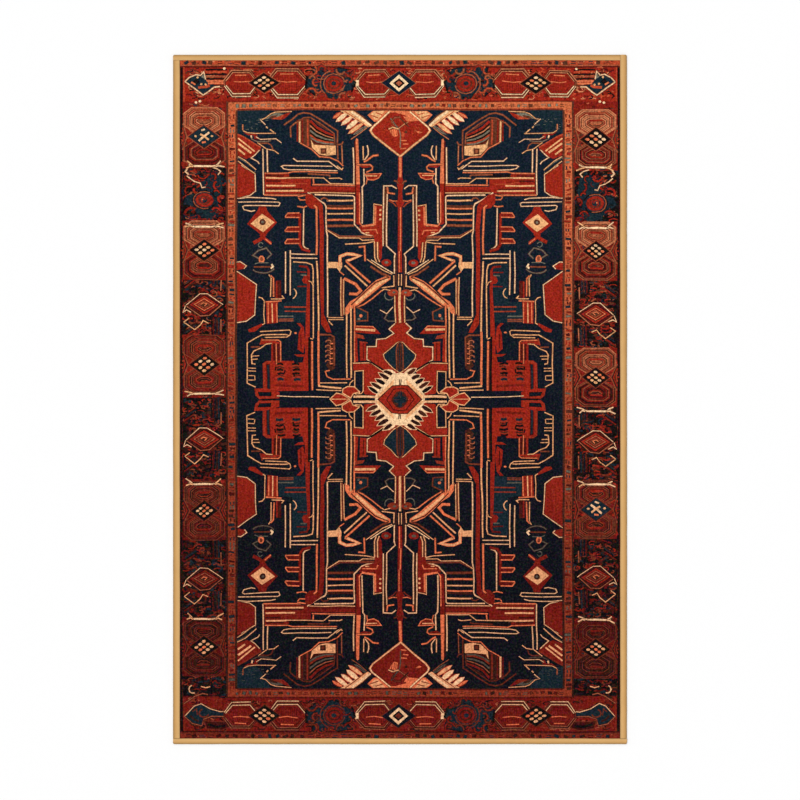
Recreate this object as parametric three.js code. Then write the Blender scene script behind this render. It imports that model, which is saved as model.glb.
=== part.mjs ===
// Area rug, bound on all four edges.
//
// A patterned face cloth lies on a felt cushion and a grip backing. The three layers
// are pressed thin along the rim, where a folded tape wraps each edge. A line of
// lockstitch holds each tape: a needle thread on top and a bobbin thread underneath.
//
// Millimetres, +Z up. The origin is the middle of the footprint, on the floor.
// X runs across the rug and Y along it.

import * as THREE from 'three';

// Driving dimensions
const rug = { width: 1600, length: 2430, thickness: 8 };
const tapeWidth = { side: 23.6, end: 19.8 };
const tapeThickness = 1.2;
const layerThickness = { grip_backing: 1.6, felt_core: 2.6, face_cloth: 2.4 };
const rimSlope = 6; // how far from the tape a layer is back to its full thickness
const gap = 0.3; // clearance between pieces that touch
const thread = { diameter: 0.5, fromTapeEdge: 4, endMargin: 3 };
const foldSegments = 6;

// Worked out from the driving dimensions
const foldRadius = rug.thickness / 2;
const tapeReach = { x: tapeWidth.side + gap, y: tapeWidth.end + gap };
const fullThickness = Object.values(layerThickness).reduce((sum, value) => sum + value, 0);
const rimRoom = rug.thickness - 2 * (tapeThickness + gap) - 2 * gap;
const rimSqueeze = rimRoom / fullThickness;
const stitchGroove = { width: thread.diameter + 2 * gap, depth: thread.diameter + gap };

function clothMaterial(name, color, roughness) {
  return new THREE.MeshStandardMaterial({ name, color, roughness, metalness: 0 });
}

const materials = {
  face_cloth: clothMaterial('printed_face', '#7d2f20', 0.95),
  felt_core: clothMaterial('felt', '#98938a', 1),
  grip_backing: clothMaterial('grip_backing', '#c9c0ae', 0.8),
  binding: clothMaterial('binding_tape', '#dbb078', 0.9),
  thread: clothMaterial('sewing_thread', '#c99f60', 0.7),
};

// The corners of a rectangle that lies inside the rug's outline, at one height
function ring(insetX, insetY, z) {
  const x = rug.width / 2 - insetX;
  const y = rug.length / 2 - insetY;
  return [[-x, -y, z], [x, -y, z], [x, y, z], [-x, y, z]];
}

// A closed solid whose skin runs through a stack of rectangles, with both ends capped
function ringStackGeometry(rings) {
  const indices = [0, 2, 1, 0, 3, 2];
  for (let level = 0; level < rings.length - 1; level += 1) {
    for (let side = 0; side < 4; side += 1) {
      const a = 4 * level + side;
      const b = 4 * level + (side + 1) % 4;
      indices.push(a, b, b + 4, a, b + 4, a + 4);
    }
  }
  const last = 4 * (rings.length - 1);
  indices.push(last, last + 1, last + 2, last, last + 2, last + 3);
  const geometry = new THREE.BufferGeometry();
  geometry.setAttribute('position', new THREE.Float32BufferAttribute(rings.flat(2), 3));
  geometry.setIndex(indices);
  geometry.computeVertexNormals();
  return geometry;
}

// One layer: full thickness in the middle, and pressed thin where the tapes grip it
function layerMesh(name, bottom, rimBottom) {
  const top = bottom + layerThickness[name];
  const rimTop = rimBottom + layerThickness[name] * rimSqueeze;
  const rim = [foldRadius, foldRadius];
  const pressed = [tapeReach.x, tapeReach.y];
  const full = [tapeReach.x + rimSlope, tapeReach.y + rimSlope];
  const geometry = ringStackGeometry([
    ring(...full, bottom),
    ring(...pressed, rimBottom),
    ring(...rim, rimBottom),
    ring(...rim, rimTop),
    ring(...pressed, rimTop),
    ring(...full, top),
  ]);
  const mesh = new THREE.Mesh(geometry, materials[name]);
  mesh.name = name;
  return mesh;
}

// The three layers, from the floor up
function layers() {
  const group = new THREE.Group();
  let bottom = 0;
  let rimBottom = tapeThickness + gap;
  for (const name of Object.keys(layerThickness)) {
    group.add(layerMesh(name, bottom, rimBottom));
    bottom += layerThickness[name] + gap;
    rimBottom += layerThickness[name] * rimSqueeze + gap;
  }
  return group;
}

// The folded tape's section: x runs inwards from the rug's edge and y runs up.
// Each leg has a shallow groove on its outer face, where the stitches pull it in.
function tapeSection(width) {
  const height = rug.thickness;
  const middle = height / 2;
  const grooveStart = width - thread.fromTapeEdge - stitchGroove.width / 2;
  const grooveEnd = grooveStart + stitchGroove.width;
  const section = new THREE.Shape();
  section.moveTo(width, height);
  section.lineTo(grooveEnd, height);
  section.lineTo(grooveEnd, height - stitchGroove.depth);
  section.lineTo(grooveStart, height - stitchGroove.depth);
  section.lineTo(grooveStart, height);
  section.absarc(foldRadius, middle, foldRadius, Math.PI / 2, Math.PI * 1.5, false);
  section.lineTo(grooveStart, 0);
  section.lineTo(grooveStart, stitchGroove.depth);
  section.lineTo(grooveEnd, stitchGroove.depth);
  section.lineTo(grooveEnd, 0);
  section.lineTo(width, 0);
  section.lineTo(width, tapeThickness);
  section.absarc(foldRadius, middle, foldRadius - tapeThickness, Math.PI * 1.5, Math.PI / 2, true);
  section.lineTo(width, height - tapeThickness);
  section.closePath();
  return section;
}

// A folded tape along X, from start to stop, with its fold at Y = 0
function tapeGeometry(width, start, stop) {
  const geometry = new THREE.ExtrudeGeometry(tapeSection(width), {
    depth: stop - start,
    bevelEnabled: false,
    curveSegments: foldSegments,
  });
  const across = new THREE.Vector3(0, 1, 0);
  const up = new THREE.Vector3(0, 0, 1);
  const along = new THREE.Vector3(1, 0, 0);
  geometry.applyMatrix4(new THREE.Matrix4().makeBasis(across, up, along));
  geometry.translate(start, 0, 0);
  return geometry;
}

// A straight run of thread along X, from start to stop
function threadGeometry(start, stop) {
  const radius = thread.diameter / 2;
  const geometry = new THREE.CylinderGeometry(radius, radius, stop - start, 8);
  geometry.rotateZ(Math.PI / 2);
  geometry.translate((start + stop) / 2, 0, 0);
  return geometry;
}

// One bound edge: its tape and the two threads that hold it. In the edge's own frame
// X runs along the rug's edge, Y points to the middle of the rug and Z is up.
function boundEdge({ name, turn, centre, width, start, stop }) {
  const edge = new THREE.Group();
  edge.position.set(centre.x, centre.y, 0);
  edge.rotation.z = turn;

  const tape = new THREE.Mesh(tapeGeometry(width, start, stop), materials.binding);
  tape.name = `binding_${name}`;
  edge.add(tape);

  const threadHeights = {
    needle_thread: rug.thickness - thread.diameter / 2,
    bobbin_thread: thread.diameter / 2,
  };
  for (const [kind, height] of Object.entries(threadHeights)) {
    const geometry = threadGeometry(start + thread.endMargin, stop - thread.endMargin);
    const run = new THREE.Mesh(geometry, materials.thread);
    run.name = `${kind}_${name}`;
    run.position.set(0, width - thread.fromTapeEdge, height);
    edge.add(run);
  }
  return edge;
}

// The four edges. At each corner one tape runs through to the rug's outer edge, and
// the other butts against its inner edge.
function boundEdges() {
  const halfWidth = rug.width / 2;
  const halfLength = rug.length / 2;
  const buttX = halfWidth - tapeReach.x;
  const buttY = halfLength - tapeReach.y;
  const quarterTurn = Math.PI / 2;
  const edges = [
    {
      name: 'bottom', turn: 0, centre: { x: 0, y: -halfLength },
      width: tapeWidth.end, start: -halfWidth, stop: halfWidth,
    },
    {
      name: 'right', turn: quarterTurn, centre: { x: halfWidth, y: 0 },
      width: tapeWidth.side, start: -buttY, stop: halfLength,
    },
    {
      name: 'top', turn: 2 * quarterTurn, centre: { x: 0, y: halfLength },
      width: tapeWidth.end, start: -buttX, stop: halfWidth,
    },
    {
      name: 'left', turn: -quarterTurn, centre: { x: -halfWidth, y: 0 },
      width: tapeWidth.side, start: -buttY, stop: buttY,
    },
  ];
  const group = new THREE.Group();
  group.add(...edges.map(boundEdge));
  return group;
}

const areaRug = new THREE.Group();
areaRug.add(layers(), boundEdges());

export default areaRug;
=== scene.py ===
# %% [markdown]
# # An area rug, woven, backed and bound
# This lesson dresses a plain CAD rug as the real thing: a patterned face cloth on a felt
# cushion and a grip backing, with a folded tape sewn round the edges. The CAD model is the
# frame. It says how big each piece is and where it lies, and every piece made here takes
# the place of the plain solid of the same name.

import math
import random
from contextlib import contextmanager

import bpy
import numpy as np
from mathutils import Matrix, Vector, noise
from mathutils.geometry import delaunay_2d_cdt


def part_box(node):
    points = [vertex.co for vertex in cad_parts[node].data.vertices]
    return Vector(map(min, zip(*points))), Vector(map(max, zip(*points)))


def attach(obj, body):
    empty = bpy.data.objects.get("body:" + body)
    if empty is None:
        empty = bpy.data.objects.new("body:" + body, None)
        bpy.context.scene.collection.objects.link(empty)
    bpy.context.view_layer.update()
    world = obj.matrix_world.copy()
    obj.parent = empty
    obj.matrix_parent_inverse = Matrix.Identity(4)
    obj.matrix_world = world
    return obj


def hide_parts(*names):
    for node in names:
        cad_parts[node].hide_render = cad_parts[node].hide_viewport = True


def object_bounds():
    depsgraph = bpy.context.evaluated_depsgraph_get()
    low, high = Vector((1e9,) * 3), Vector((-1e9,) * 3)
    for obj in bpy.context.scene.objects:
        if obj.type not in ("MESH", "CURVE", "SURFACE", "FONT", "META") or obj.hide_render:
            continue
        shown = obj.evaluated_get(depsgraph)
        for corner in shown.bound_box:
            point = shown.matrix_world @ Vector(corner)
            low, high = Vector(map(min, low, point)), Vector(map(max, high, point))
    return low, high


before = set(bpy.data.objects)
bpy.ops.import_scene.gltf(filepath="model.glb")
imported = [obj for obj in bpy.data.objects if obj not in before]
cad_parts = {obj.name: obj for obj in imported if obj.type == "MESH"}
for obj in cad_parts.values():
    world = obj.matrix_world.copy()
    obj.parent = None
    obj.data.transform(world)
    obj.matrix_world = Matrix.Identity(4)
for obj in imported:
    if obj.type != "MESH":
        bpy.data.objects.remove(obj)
cad_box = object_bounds()
CM = 0.01
MM = 0.001
print("CAD box", cad_box)

# %% [markdown]
# ## Sizes that the frame gives
# Nothing is measured twice. The rug's outline, the height of its face and the width of its
# tapes all come from the boxes of the CAD nodes.

# %% Read the sizes
face_low, face_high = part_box("face_cloth")
felt_low, felt_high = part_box("felt_core")
backing_low, backing_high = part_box("grip_backing")
EDGES = ("left", "right", "top", "bottom")
tape_box = {edge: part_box("binding_" + edge) for edge in EDGES}

rug_low, rug_high = cad_box
rug_width = rug_high[0] - rug_low[0]
rug_length = rug_high[1] - rug_low[1]
rug_thickness = rug_high[2] - rug_low[2]
side_tape = tape_box["left"][1][0] - tape_box["left"][0][0]
end_tape = tape_box["top"][1][1] - tape_box["top"][0][1]
tape_width = {"left": side_tape, "right": side_tape, "top": end_tape, "bottom": end_tape}
LONG_AXIS = {"left": 1, "right": 1, "top": 0, "bottom": 0}  # 0 for an edge along X, 1 along Y
TAPE_THICKNESS = 1.2 * MM
print(f"rug {rug_width:.3f} x {rug_length:.3f} m, tapes {side_tape:.4f} and {end_tape:.4f} m")

# %% [markdown]
# ## Camera, floor and light
# The rug is looked at from straight above, so the camera hangs over its middle with a long
# lens, which keeps the edges parallel. The light is a broad, soft one overhead with a little
# fill from all round. Overhead light matters here: the tape's fold turns away from it, and
# that darkens the rug's outer edge, along with shade painted into the tape's colour at the fold.

# %% Camera
FRAME_WIDTH = 2.8196  # metres of floor across the picture
CAMERA_Y = -0.0021  # metres: the rug sits a hair above the middle of the picture
LENS = 200.0
SENSOR = 36.0
camera_data = bpy.data.cameras.new("overhead_camera")
camera_data.lens = LENS
camera_data.sensor_width = SENSOR
camera_data.clip_end = 200.0
camera = bpy.data.objects.new("overhead_camera", camera_data)
bpy.context.scene.collection.objects.link(camera)
camera_height = rug_thickness + FRAME_WIDTH * LENS / SENSOR
camera.location = (0.0, CAMERA_Y, camera_height)
bpy.context.scene.camera = camera
bpy.context.scene.view_settings.view_transform = "Standard"
print(f"camera {camera_height:.2f} m above the floor")

# %% Light
SUN_SPREAD = math.radians(50)
SUN_TILT = (math.radians(-8), math.radians(-10), 0.0)
SUN_STRENGTH = 2.0
FILL_STRENGTH = 0.45
sun_data = bpy.data.lights.new("soft_overhead_light", "SUN")
sun_data.energy = SUN_STRENGTH
sun_data.angle = SUN_SPREAD
sun = bpy.data.objects.new("soft_overhead_light", sun_data)
sun.rotation_euler = SUN_TILT
bpy.context.scene.collection.objects.link(sun)

world = bpy.data.worlds.new("studio")
world.use_nodes = True
sky = world.node_tree.nodes["Background"]
sky.inputs["Color"].default_value = (1.0, 1.0, 1.0, 1.0)
sky.inputs["Strength"].default_value = FILL_STRENGTH
bpy.context.scene.world = world

# %% [markdown]
# ## Shader maths
# A node material is a small program. Wrapping a socket in a class with the usual operators
# lets the maths read like maths: every operator adds one Math node. Colours and vectors go
# through Mix and Vector Math nodes, because a Math node would turn a colour grey.

# %% The socket wrapper
class Wire:
    """A node socket that adds, subtracts and multiplies like a number."""

    def __init__(self, nodes, socket):
        self.nodes = nodes
        self.socket = socket

    def maths(self, operation, *others, **settings):
        inputs = {index + 1: other for index, other in enumerate(others)}
        inputs[0] = self
        return self.nodes.add("ShaderNodeMath", {"operation": operation, **settings}, inputs)

    def __add__(self, other):
        return self.maths("ADD", other)

    def __mul__(self, other):
        return self.maths("MULTIPLY", other)

    def __sub__(self, other):
        return self.maths("SUBTRACT", other)

    __radd__ = __add__

    def clamp(self):
        """The same number, held between 0 and 1."""
        return self.maths("ADD", 0.0, use_clamp=True)


class Material:
    """A node material round one Principled shader, with a helper that adds nodes."""

    def __init__(self, name, **shader_settings):
        self.material = bpy.data.materials.new(name)
        self.material.use_nodes = True
        self.tree = self.material.node_tree
        self.shader = self.tree.nodes["Principled BSDF"]
        for socket, value in shader_settings.items():
            self.shader.inputs[socket.replace("_", " ")].default_value = value

    def add(self, node_type, settings=None, inputs=None, output=0):
        """Adds a node, sets it up, plugs its inputs in and returns one of its outputs."""
        node = self.tree.nodes.new(node_type)
        for name, value in (settings or {}).items():
            if name == "stops":
                self.set_stops(node.color_ramp, value)
            else:
                setattr(node, name, value)
        for key, value in (inputs or {}).items():
            self.plug(node.inputs[key], value)
        return Wire(self, node.outputs[output])

    def set_stops(self, ramp, stops):
        while len(ramp.elements) < len(stops):
            ramp.elements.new(1.0)
        for element, (position, colour) in zip(ramp.elements, stops):
            element.position = position
            element.color = colour

    def plug(self, socket, value):
        if isinstance(value, Wire):
            self.tree.links.new(value.socket, socket)
        else:
            socket.default_value = value

    def place(self):
        """The place on the piece, in metres."""
        return self.add("ShaderNodeTexCoord", output="Object")

    def stretched(self, scale):
        """The place, multiplied along each axis, so that a noise in it comes out as streaks."""
        settings = {"vector_type": "POINT"}
        return self.add("ShaderNodeMapping", settings, {"Vector": self.place(), "Scale": scale})

    def noise(self, scale, detail=2.0, roughness=0.5, at=None):
        inputs = {"Scale": scale, "Detail": detail, "Roughness": roughness}
        inputs["Vector"] = at or self.place()
        return self.add("ShaderNodeTexNoise", None, inputs)

    def part(self, axis, at=None):
        """One coordinate of a vector, or of the place."""
        return self.add("ShaderNodeSeparateXYZ", None, {0: at or self.place()}, output=axis)

    def wave(self, distance, pitch):
        """A sine along a distance, one swing for each pitch."""
        return distance.maths("MULTIPLY", 2 * math.pi / pitch).maths("SINE")

    def ramp(self, factor, stops):
        return self.add("ShaderNodeValToRGB", {"stops": stops}, {"Fac": factor})

    def blend(self, mode, factor, first, second):
        settings = {"data_type": "RGBA", "blend_type": mode}
        return self.add("ShaderNodeMix", settings, {0: factor, 6: first, 7: second}, output=2)

    def bump(self, height, strength, distance, below=None):
        inputs = {"Height": height, "Strength": strength, "Distance": distance}
        if below:
            inputs["Normal"] = below
        return self.add("ShaderNodeBump", None, inputs)

    def feed(self, **sockets):
        """Plugs wires into the shader. An underscore in a name stands for a space."""
        for name, wire in sockets.items():
            self.plug(self.shader.inputs[name.replace("_", " ")], wire)
        return self.material


def display(red, green, blue):
    """A colour as a screen shows it, 0 to 255, as the linear light that Blender works in."""
    return tuple((value / 255.0) ** 2.2 for value in (red, green, blue)) + (1.0,)


# %% [markdown]
# ## Mesh helpers
# Every piece here is made of points and faces that a loop works out, so one function turns
# them into an object.

# %% New objects
def new_piece(name, points, faces, material):
    """Makes an object from points and faces, gives it a material and adds it to the scene."""
    mesh = bpy.data.meshes.new(name)
    mesh.from_pydata([tuple(point) for point in points], [], faces)
    mesh.validate()
    mesh.polygons.foreach_set("use_smooth", [True] * len(mesh.polygons))
    mesh.materials.append(material)
    piece = bpy.data.objects.new(name, mesh)
    bpy.context.scene.collection.objects.link(piece)
    print(f"{name}: {len(mesh.vertices)} points, {len(mesh.polygons)} faces")
    return piece


def smooth_step(low, high, value):
    """0 below low, 1 above high and a soft rise between them."""
    share = min(1.0, max(0.0, (value - low) / (high - low)))
    return share * share * (3.0 - 2.0 * share)


# %% Floor
FLOOR_RADIUS = 40.0
floor_paint = Material("pale_floor", Base_Color=(0.93, 0.93, 0.93, 1.0), Roughness=0.8)
floor_corners = [(FLOOR_RADIUS * x, FLOOR_RADIUS * y, 0.0) for x, y in ((-1, -1), (1, -1), (1, 1), (-1, 1))]
floor = new_piece("floor", floor_corners, [(0, 1, 2, 3)], floor_paint.material)

# %% [markdown]
# ## The dyes
# A rug of this kind uses about a dozen dyes. Wool is dyed in small lots, so a colour drifts
# along the rug, which weavers call abrash. Each dye here has a colour for the top of the rug
# and one for the bottom, and each says where along the rug it drifts.

# %% Dye table
DYES = {
    # name: (colour at the top, colour at the bottom, where the drift starts, where it ends)
    "navy": ((17, 31, 43), (12, 14, 23), 0.05, 0.85),
    "teal": ((23, 40, 48), (19, 34, 42), 0.0, 1.0),
    "ink": ((22, 14, 13), (15, 9, 9), 0.0, 1.0),
    "maroon": ((82, 20, 14), (58, 12, 9), 0.2, 0.9),
    "madder": ((122, 30, 19), (84, 17, 12), 0.3, 0.8),
    "red": ((145, 37, 22), (106, 23, 14), 0.5, 0.8),
    "brick": ((176, 70, 42), (112, 36, 23), 0.0, 0.9),
    "rust": ((150, 80, 52), (94, 36, 24), 0.0, 1.0),
    "umber": ((94, 50, 34), (52, 22, 15), 0.0, 0.9),
    "guard": ((202, 102, 63), (124, 48, 30), 0.0, 0.7),
    "guard_end": ((194, 100, 61), (128, 48, 29), 0.0, 1.0),
    "shield": ((176, 88, 56), (112, 48, 32), 0.05, 0.45),
    "shadow": ((86, 46, 34), (46, 22, 17), 0.05, 0.45),
    "tan": ((196, 120, 82), (140, 72, 50), 0.0, 0.8),
    "coral": ((214, 112, 72), (206, 98, 64), 0.3, 1.0),
    "peach": ((226, 165, 112), (212, 142, 100), 0.2, 1.0),
    "straw": ((232, 186, 142), (210, 152, 112), 0.2, 1.0),
    "cream": ((240, 202, 156), (226, 176, 134), 0.2, 1.0),
    "sage": ((112, 108, 92), (72, 66, 58), 0.0, 1.0),
}

# %% [markdown]
# ## The cartoon
# Weavers work from a cartoon, a full-size drawing of the pattern. This one is made of flat
# shapes in centimetres from the middle of the rug. A later shape covers an earlier one, as
# paint does. Placements nest, so a motif is drawn once and repeated or mirrored.

# %% The drawing board
def is_convex(corners):
    """True if the corners turn left all the way round."""
    ways = [b - a for a, b in zip(corners, corners[1:] + corners[:1])]
    return all(a.cross(b) > 0 for a, b in zip(ways, ways[1:] + ways[:1]))


class Cartoon:
    """A list of flat shapes, each a dye and the corners of a patch, in centimetres."""

    LONGEST_STRETCH = 8.0  # a longer side is cut, so that it can bend with the ripple
    SMALLEST = 0.002  # twice the area of the smallest patch that is kept

    def __init__(self):
        self.shapes = []
        self.shift = (0.0, 0.0)
        self.scale = (1.0, 1.0)

    @contextmanager
    def placed(self, x=0.0, y=0.0, scale_x=1.0, scale_y=1.0):
        """Whatever is drawn inside this `with` is shifted and scaled, or mirrored if it is -1."""
        shift, scale = self.shift, self.scale
        self.shift = (shift[0] + scale[0] * x, shift[1] + scale[1] * y)
        self.scale = (scale[0] * scale_x, scale[1] * scale_y)
        yield self
        self.shift, self.scale = shift, scale

    def lay(self, dye, corners):
        """Adds one patch: cuts its long sides, places it and makes it run anticlockwise."""
        outline = []
        for start, stop in zip(corners, corners[1:] + corners[:1]):
            pieces = max(1, math.ceil(math.dist(start, stop) / self.LONGEST_STRETCH))
            for step in range(pieces):
                x, y = Vector(start).lerp(Vector(stop), step / pieces)
                outline.append((self.shift[0] + self.scale[0] * x, self.shift[1] + self.scale[1] * y))
        double_area = sum(a[0] * b[1] - b[0] * a[1] for a, b in zip(outline, outline[1:] + outline[:1]))
        if double_area < 0:
            outline.reverse()
        if abs(double_area) > self.SMALLEST:
            self.shapes.append((dye, outline))

    def fill(self, dye, corners, rim=None, rim_width=0.4):
        """A patch of one dye, with an outline if it has a rim."""
        self.lay(dye, corners)
        if rim:
            self.line(rim, rim_width, corners + corners[:1])

    def box(self, dye, left, right, low, high):
        """An upright rectangle."""
        self.fill(dye, [(left, low), (right, low), (right, high), (left, high)])

    def line(self, dye, width, path):
        """A stripe of one dye: each stretch is a patch, and neighbours share mitred ends."""
        closed = path[0] == path[-1]
        points = [Vector(path[0])]
        for corner in path[1:]:
            start, stop = points[-1], Vector(corner)
            pieces = math.ceil((stop - start).length / self.LONGEST_STRETCH)
            points += [start.lerp(stop, (step + 1) / pieces) for step in range(pieces)]
        ways = [(b - a).normalized() for a, b in zip(points, points[1:])]
        left, right = [], []
        for index, point in enumerate(points):
            before = ways[index - 1] if index or closed else ways[0]
            after = ways[index] if index < len(ways) else (ways[0] if closed else ways[-1])
            across = Vector((-before.y - after.y, before.x + after.x))
            if across.length < 0.5:
                across = Vector((-after.y, after.x))
            across.normalize()
            reach = max(0.5, across.dot(Vector((-after.y, after.x))))
            left.append(point + across * width / 2 / reach)
            right.append(point - across * width / 2 / reach)
        for index, way in enumerate(ways):
            corners = [left[index], right[index], right[index + 1], left[index + 1]]
            if not is_convex(corners):  # too sharp a bend for mitres, so this patch gets square ends
                side = Vector((-way.y, way.x)) * width / 2
                start, stop = points[index], points[index + 1]
                corners = [start + side, start - side, stop - side, stop + side]
            self.lay(dye, [tuple(corner) for corner in corners])

    def yarn(self, dye, width, path, shade="umber"):
        """A light line with a darker one showing at both its sides."""
        self.line(shade, width + 0.3, path)
        self.line(dye, width * 0.84, path)

    def leaf(self, dye, root, tip, half_width, rim=None, rim_width=0.3):
        """A long leaf, widest near the middle and pointed at the tip."""
        start = Vector(root)
        along = Vector(tip) - start
        across = Vector((-along.y, along.x)).normalized() * half_width
        halves = ((0.0, 0.5), (0.4, 1.0), (0.75, 0.8), (1.0, 0.0), (0.75, -0.8), (0.4, -1.0), (0.0, -0.5))
        corners = [tuple(start + along * share + across * side) for share, side in halves]
        self.fill(dye, corners, rim, rim_width)


def arc(x, y, radius_x, start, stop, steps=6, radius_y=None):
    """Points along part of a circle or an ellipse, from one angle in degrees to another."""
    radius_y = radius_y or radius_x
    angles = [math.radians(start + (stop - start) * step / steps) for step in range(steps + 1)]
    return [(x + radius_x * math.cos(angle), y + radius_y * math.sin(angle)) for angle in angles]


def disc(x, y, radius_x, radius_y=None, steps=10):
    """The outline of a round or oval spot."""
    return arc(x, y, radius_x, 0, 360, steps, radius_y)[:-1]


def diamonds(*rings, y=0):
    """Diamonds one over another, from the largest: (dye, half width, half height)."""
    for dye, half_width, half_height in rings:
        fill(dye, [(-half_width, y), (0, y - half_height), (half_width, y), (0, y + half_height)])


cartoon = Cartoon()
placed, fill, box = cartoon.placed, cartoon.fill, cartoon.box
line, yarn, leaf = cartoon.line, cartoon.yarn, cartoon.leaf

# %% [markdown]
# ## The layout
# From the edge inwards there is a dark line beside the tape, a wide border, a narrow guard
# stripe and the navy field. The ends have a second guard stripe outside the wide border.

# %% Grounds
RIM_X, RIM_Y = 79.6, 121.1  # the cloth runs on under the tapes
BORDER_X, BORDER_Y = 76.6, 117.3
GUARD_X, GUARD_Y = 61.4, 105.3
FIELD_X, FIELD_Y = 57.3, 101.8

box("maroon", -RIM_X, RIM_X, -RIM_Y, RIM_Y)
PRESSED = 0.8  # the last stretch of pile, which slopes down under the tapes
tape_x = 100 * (rug_width / 2 - side_tape)
tape_y = 100 * (rug_length / 2 - end_tape)
for share in (0, 0.35, 0.7, 1):
    x = tape_x - PRESSED * share
    y = tape_y - PRESSED * share
    box("maroon", -x, x, -y, y)
for end in (1, -1):
    with placed(scale_y=end):
        box("brick", -BORDER_X - 0.9, BORDER_X + 0.9, BORDER_Y, RIM_Y)
box("ink", -BORDER_X - 0.7, BORDER_X + 0.7, -BORDER_Y, BORDER_Y)
box("red", -BORDER_X, BORDER_X, -BORDER_Y, BORDER_Y)
box("umber", -GUARD_X, GUARD_X, -GUARD_Y, GUARD_Y)
box("guard_end", -GUARD_X + 0.6, GUARD_X - 0.6, -GUARD_Y + 0.5, GUARD_Y - 0.5)
for side in (1, -1):
    with placed(scale_x=side):
        box("guard", FIELD_X, GUARD_X - 0.6, -FIELD_Y - 0.6, FIELD_Y + 0.6)
box("umber", -FIELD_X - 0.45, FIELD_X + 0.45, -FIELD_Y - 0.3, FIELD_Y + 0.3)
box("navy", -FIELD_X, FIELD_X, -FIELD_Y, FIELD_Y)
print(len(cartoon.shapes), "grounds")

# %% [markdown]
# ## Guard stripes
# A guard stripe is a row of dashes, paired strokes and specks on a terracotta ground. The
# spacing is even, but each one is a little different, as tying by hand makes it. The random
# numbers have a fixed seed, so the rug comes out the same every time.

# %% Rows of knots
hand = random.Random(7)


def knot_row(length, pitch, reach, dyes, sparks):
    """Dashes across the row and pairs of strokes, taking turns along X, with specks between."""
    for step in range(int(length / pitch)):
        x = (step + 0.5 + hand.uniform(-0.15, 0.15)) * pitch
        y = hand.uniform(-0.25, 0.25) * reach
        wide = pitch * hand.uniform(0.14, 0.26)
        tall = reach * hand.uniform(0.6, 1)
        lean = hand.uniform(-0.1, 0.1) * pitch
        dye = hand.choice(dyes)
        if hand.random() < 0.6:
            line("umber", wide * 2.8, [(x - lean, y - tall), (x + lean, y + tall)])
            line(dye, wide * 1.9, [(x - lean, y - tall), (x + lean, y + tall)])
        else:
            for side in (-1, 1):
                stroke_y = y + side * tall * 0.6
                stroke_x = x + hand.uniform(-0.1, 0.1) * pitch
                half = pitch * hand.uniform(0.25, 0.4)
                line(dye, reach * 0.4, [(stroke_x - half, stroke_y), (stroke_x + half, stroke_y)])
        for _ in range(2):
            speck_x = x + pitch * hand.uniform(0.35, 0.65)
            speck_y = hand.uniform(-0.8, 0.8) * reach
            tall = reach * hand.uniform(0.15, 0.4)
            line(hand.choice(sparks), pitch * 0.16, [(speck_x, speck_y - tall), (speck_x, speck_y + tall)])


def turned_knot_row(length, pitch, reach, dyes, sparks):
    """The same row, turned to run along Y."""
    first = len(cartoon.shapes)
    shift, scale = cartoon.shift, cartoon.scale
    with placed(x=-shift[0], y=-shift[1]):
        knot_row(length, pitch, reach, dyes, sparks)
    for index in range(first, len(cartoon.shapes)):
        dye, corners = cartoon.shapes[index]
        cartoon.shapes[index] = (dye, [(shift[0] - y, shift[1] + x) for x, y in corners])


SIDE_KNOTS = ("red", "teal", "madder", "sage", "red", "umber", "maroon", "brick", "red", "teal")
SIDE_SPECKS = ("madder", "rust", "tan", "umber", "teal", "brick")
END_KNOTS = ("sage", "umber", "sage", "rust", "madder")
OUTER_KNOTS = ("teal", "umber", "maroon", "teal", "shadow")
END_SPECKS = ("brick", "rust", "tan", "madder", "rust")
guard_middle_x = (GUARD_X + FIELD_X) / 2
guard_middle_y = (GUARD_Y + FIELD_Y) / 2
for side in (1, -1):
    with placed(x=side * guard_middle_x, y=-GUARD_Y + 2.5):
        turned_knot_row(2 * GUARD_Y - 5, 1.6, 1.15, SIDE_KNOTS, SIDE_SPECKS)
    with placed(x=-GUARD_X + 3, y=side * guard_middle_y):
        knot_row(2 * GUARD_X - 6, 2.2, 0.65, END_KNOTS, END_SPECKS)
    with placed(x=-BORDER_X, y=side * 118.7):
        knot_row(2 * BORDER_X, 2.9, 0.75, OUTER_KNOTS, END_SPECKS)
    with placed(scale_y=side):
        line("rust", 0.35, [(-BORDER_X - 0.8, 117.75), (BORDER_X + 0.8, 117.75)])
        line("maroon", 0.55, [(-BORDER_X - 0.8, 117.2), (BORDER_X + 0.8, 117.2)])
        line("madder", 0.5, [(-GUARD_X + 0.4, 105.2), (GUARD_X - 0.4, 105.2)])
        line("madder", 0.35, [(-FIELD_X, 102.3), (FIELD_X, 102.3)])
    with placed(scale_x=side):
        line("shadow", 0.5, [(61.35, -105), (61.35, 105)])
        line("umber", 0.3, [(60.75, -105), (60.75, 105)])
        line("umber", 0.3, [(57.9, -102), (57.9, 102)])
        line("brick", 0.4, [(76.2, -117), (76.2, 117)])
print(len(cartoon.shapes), "shapes with the guard stripes")

# %% [markdown]
# ## Side borders
# Each side border is a column of compartments. The chief one is a pair of nested shields
# that meet at a latticed diamond. Between the pairs stand rosettes and nested diamonds on a
# dark ground that is dense with curls, and pale bars like bones lie across the gaps.

# %% Curly grounds
BORDER_HALF = 7.6


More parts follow.
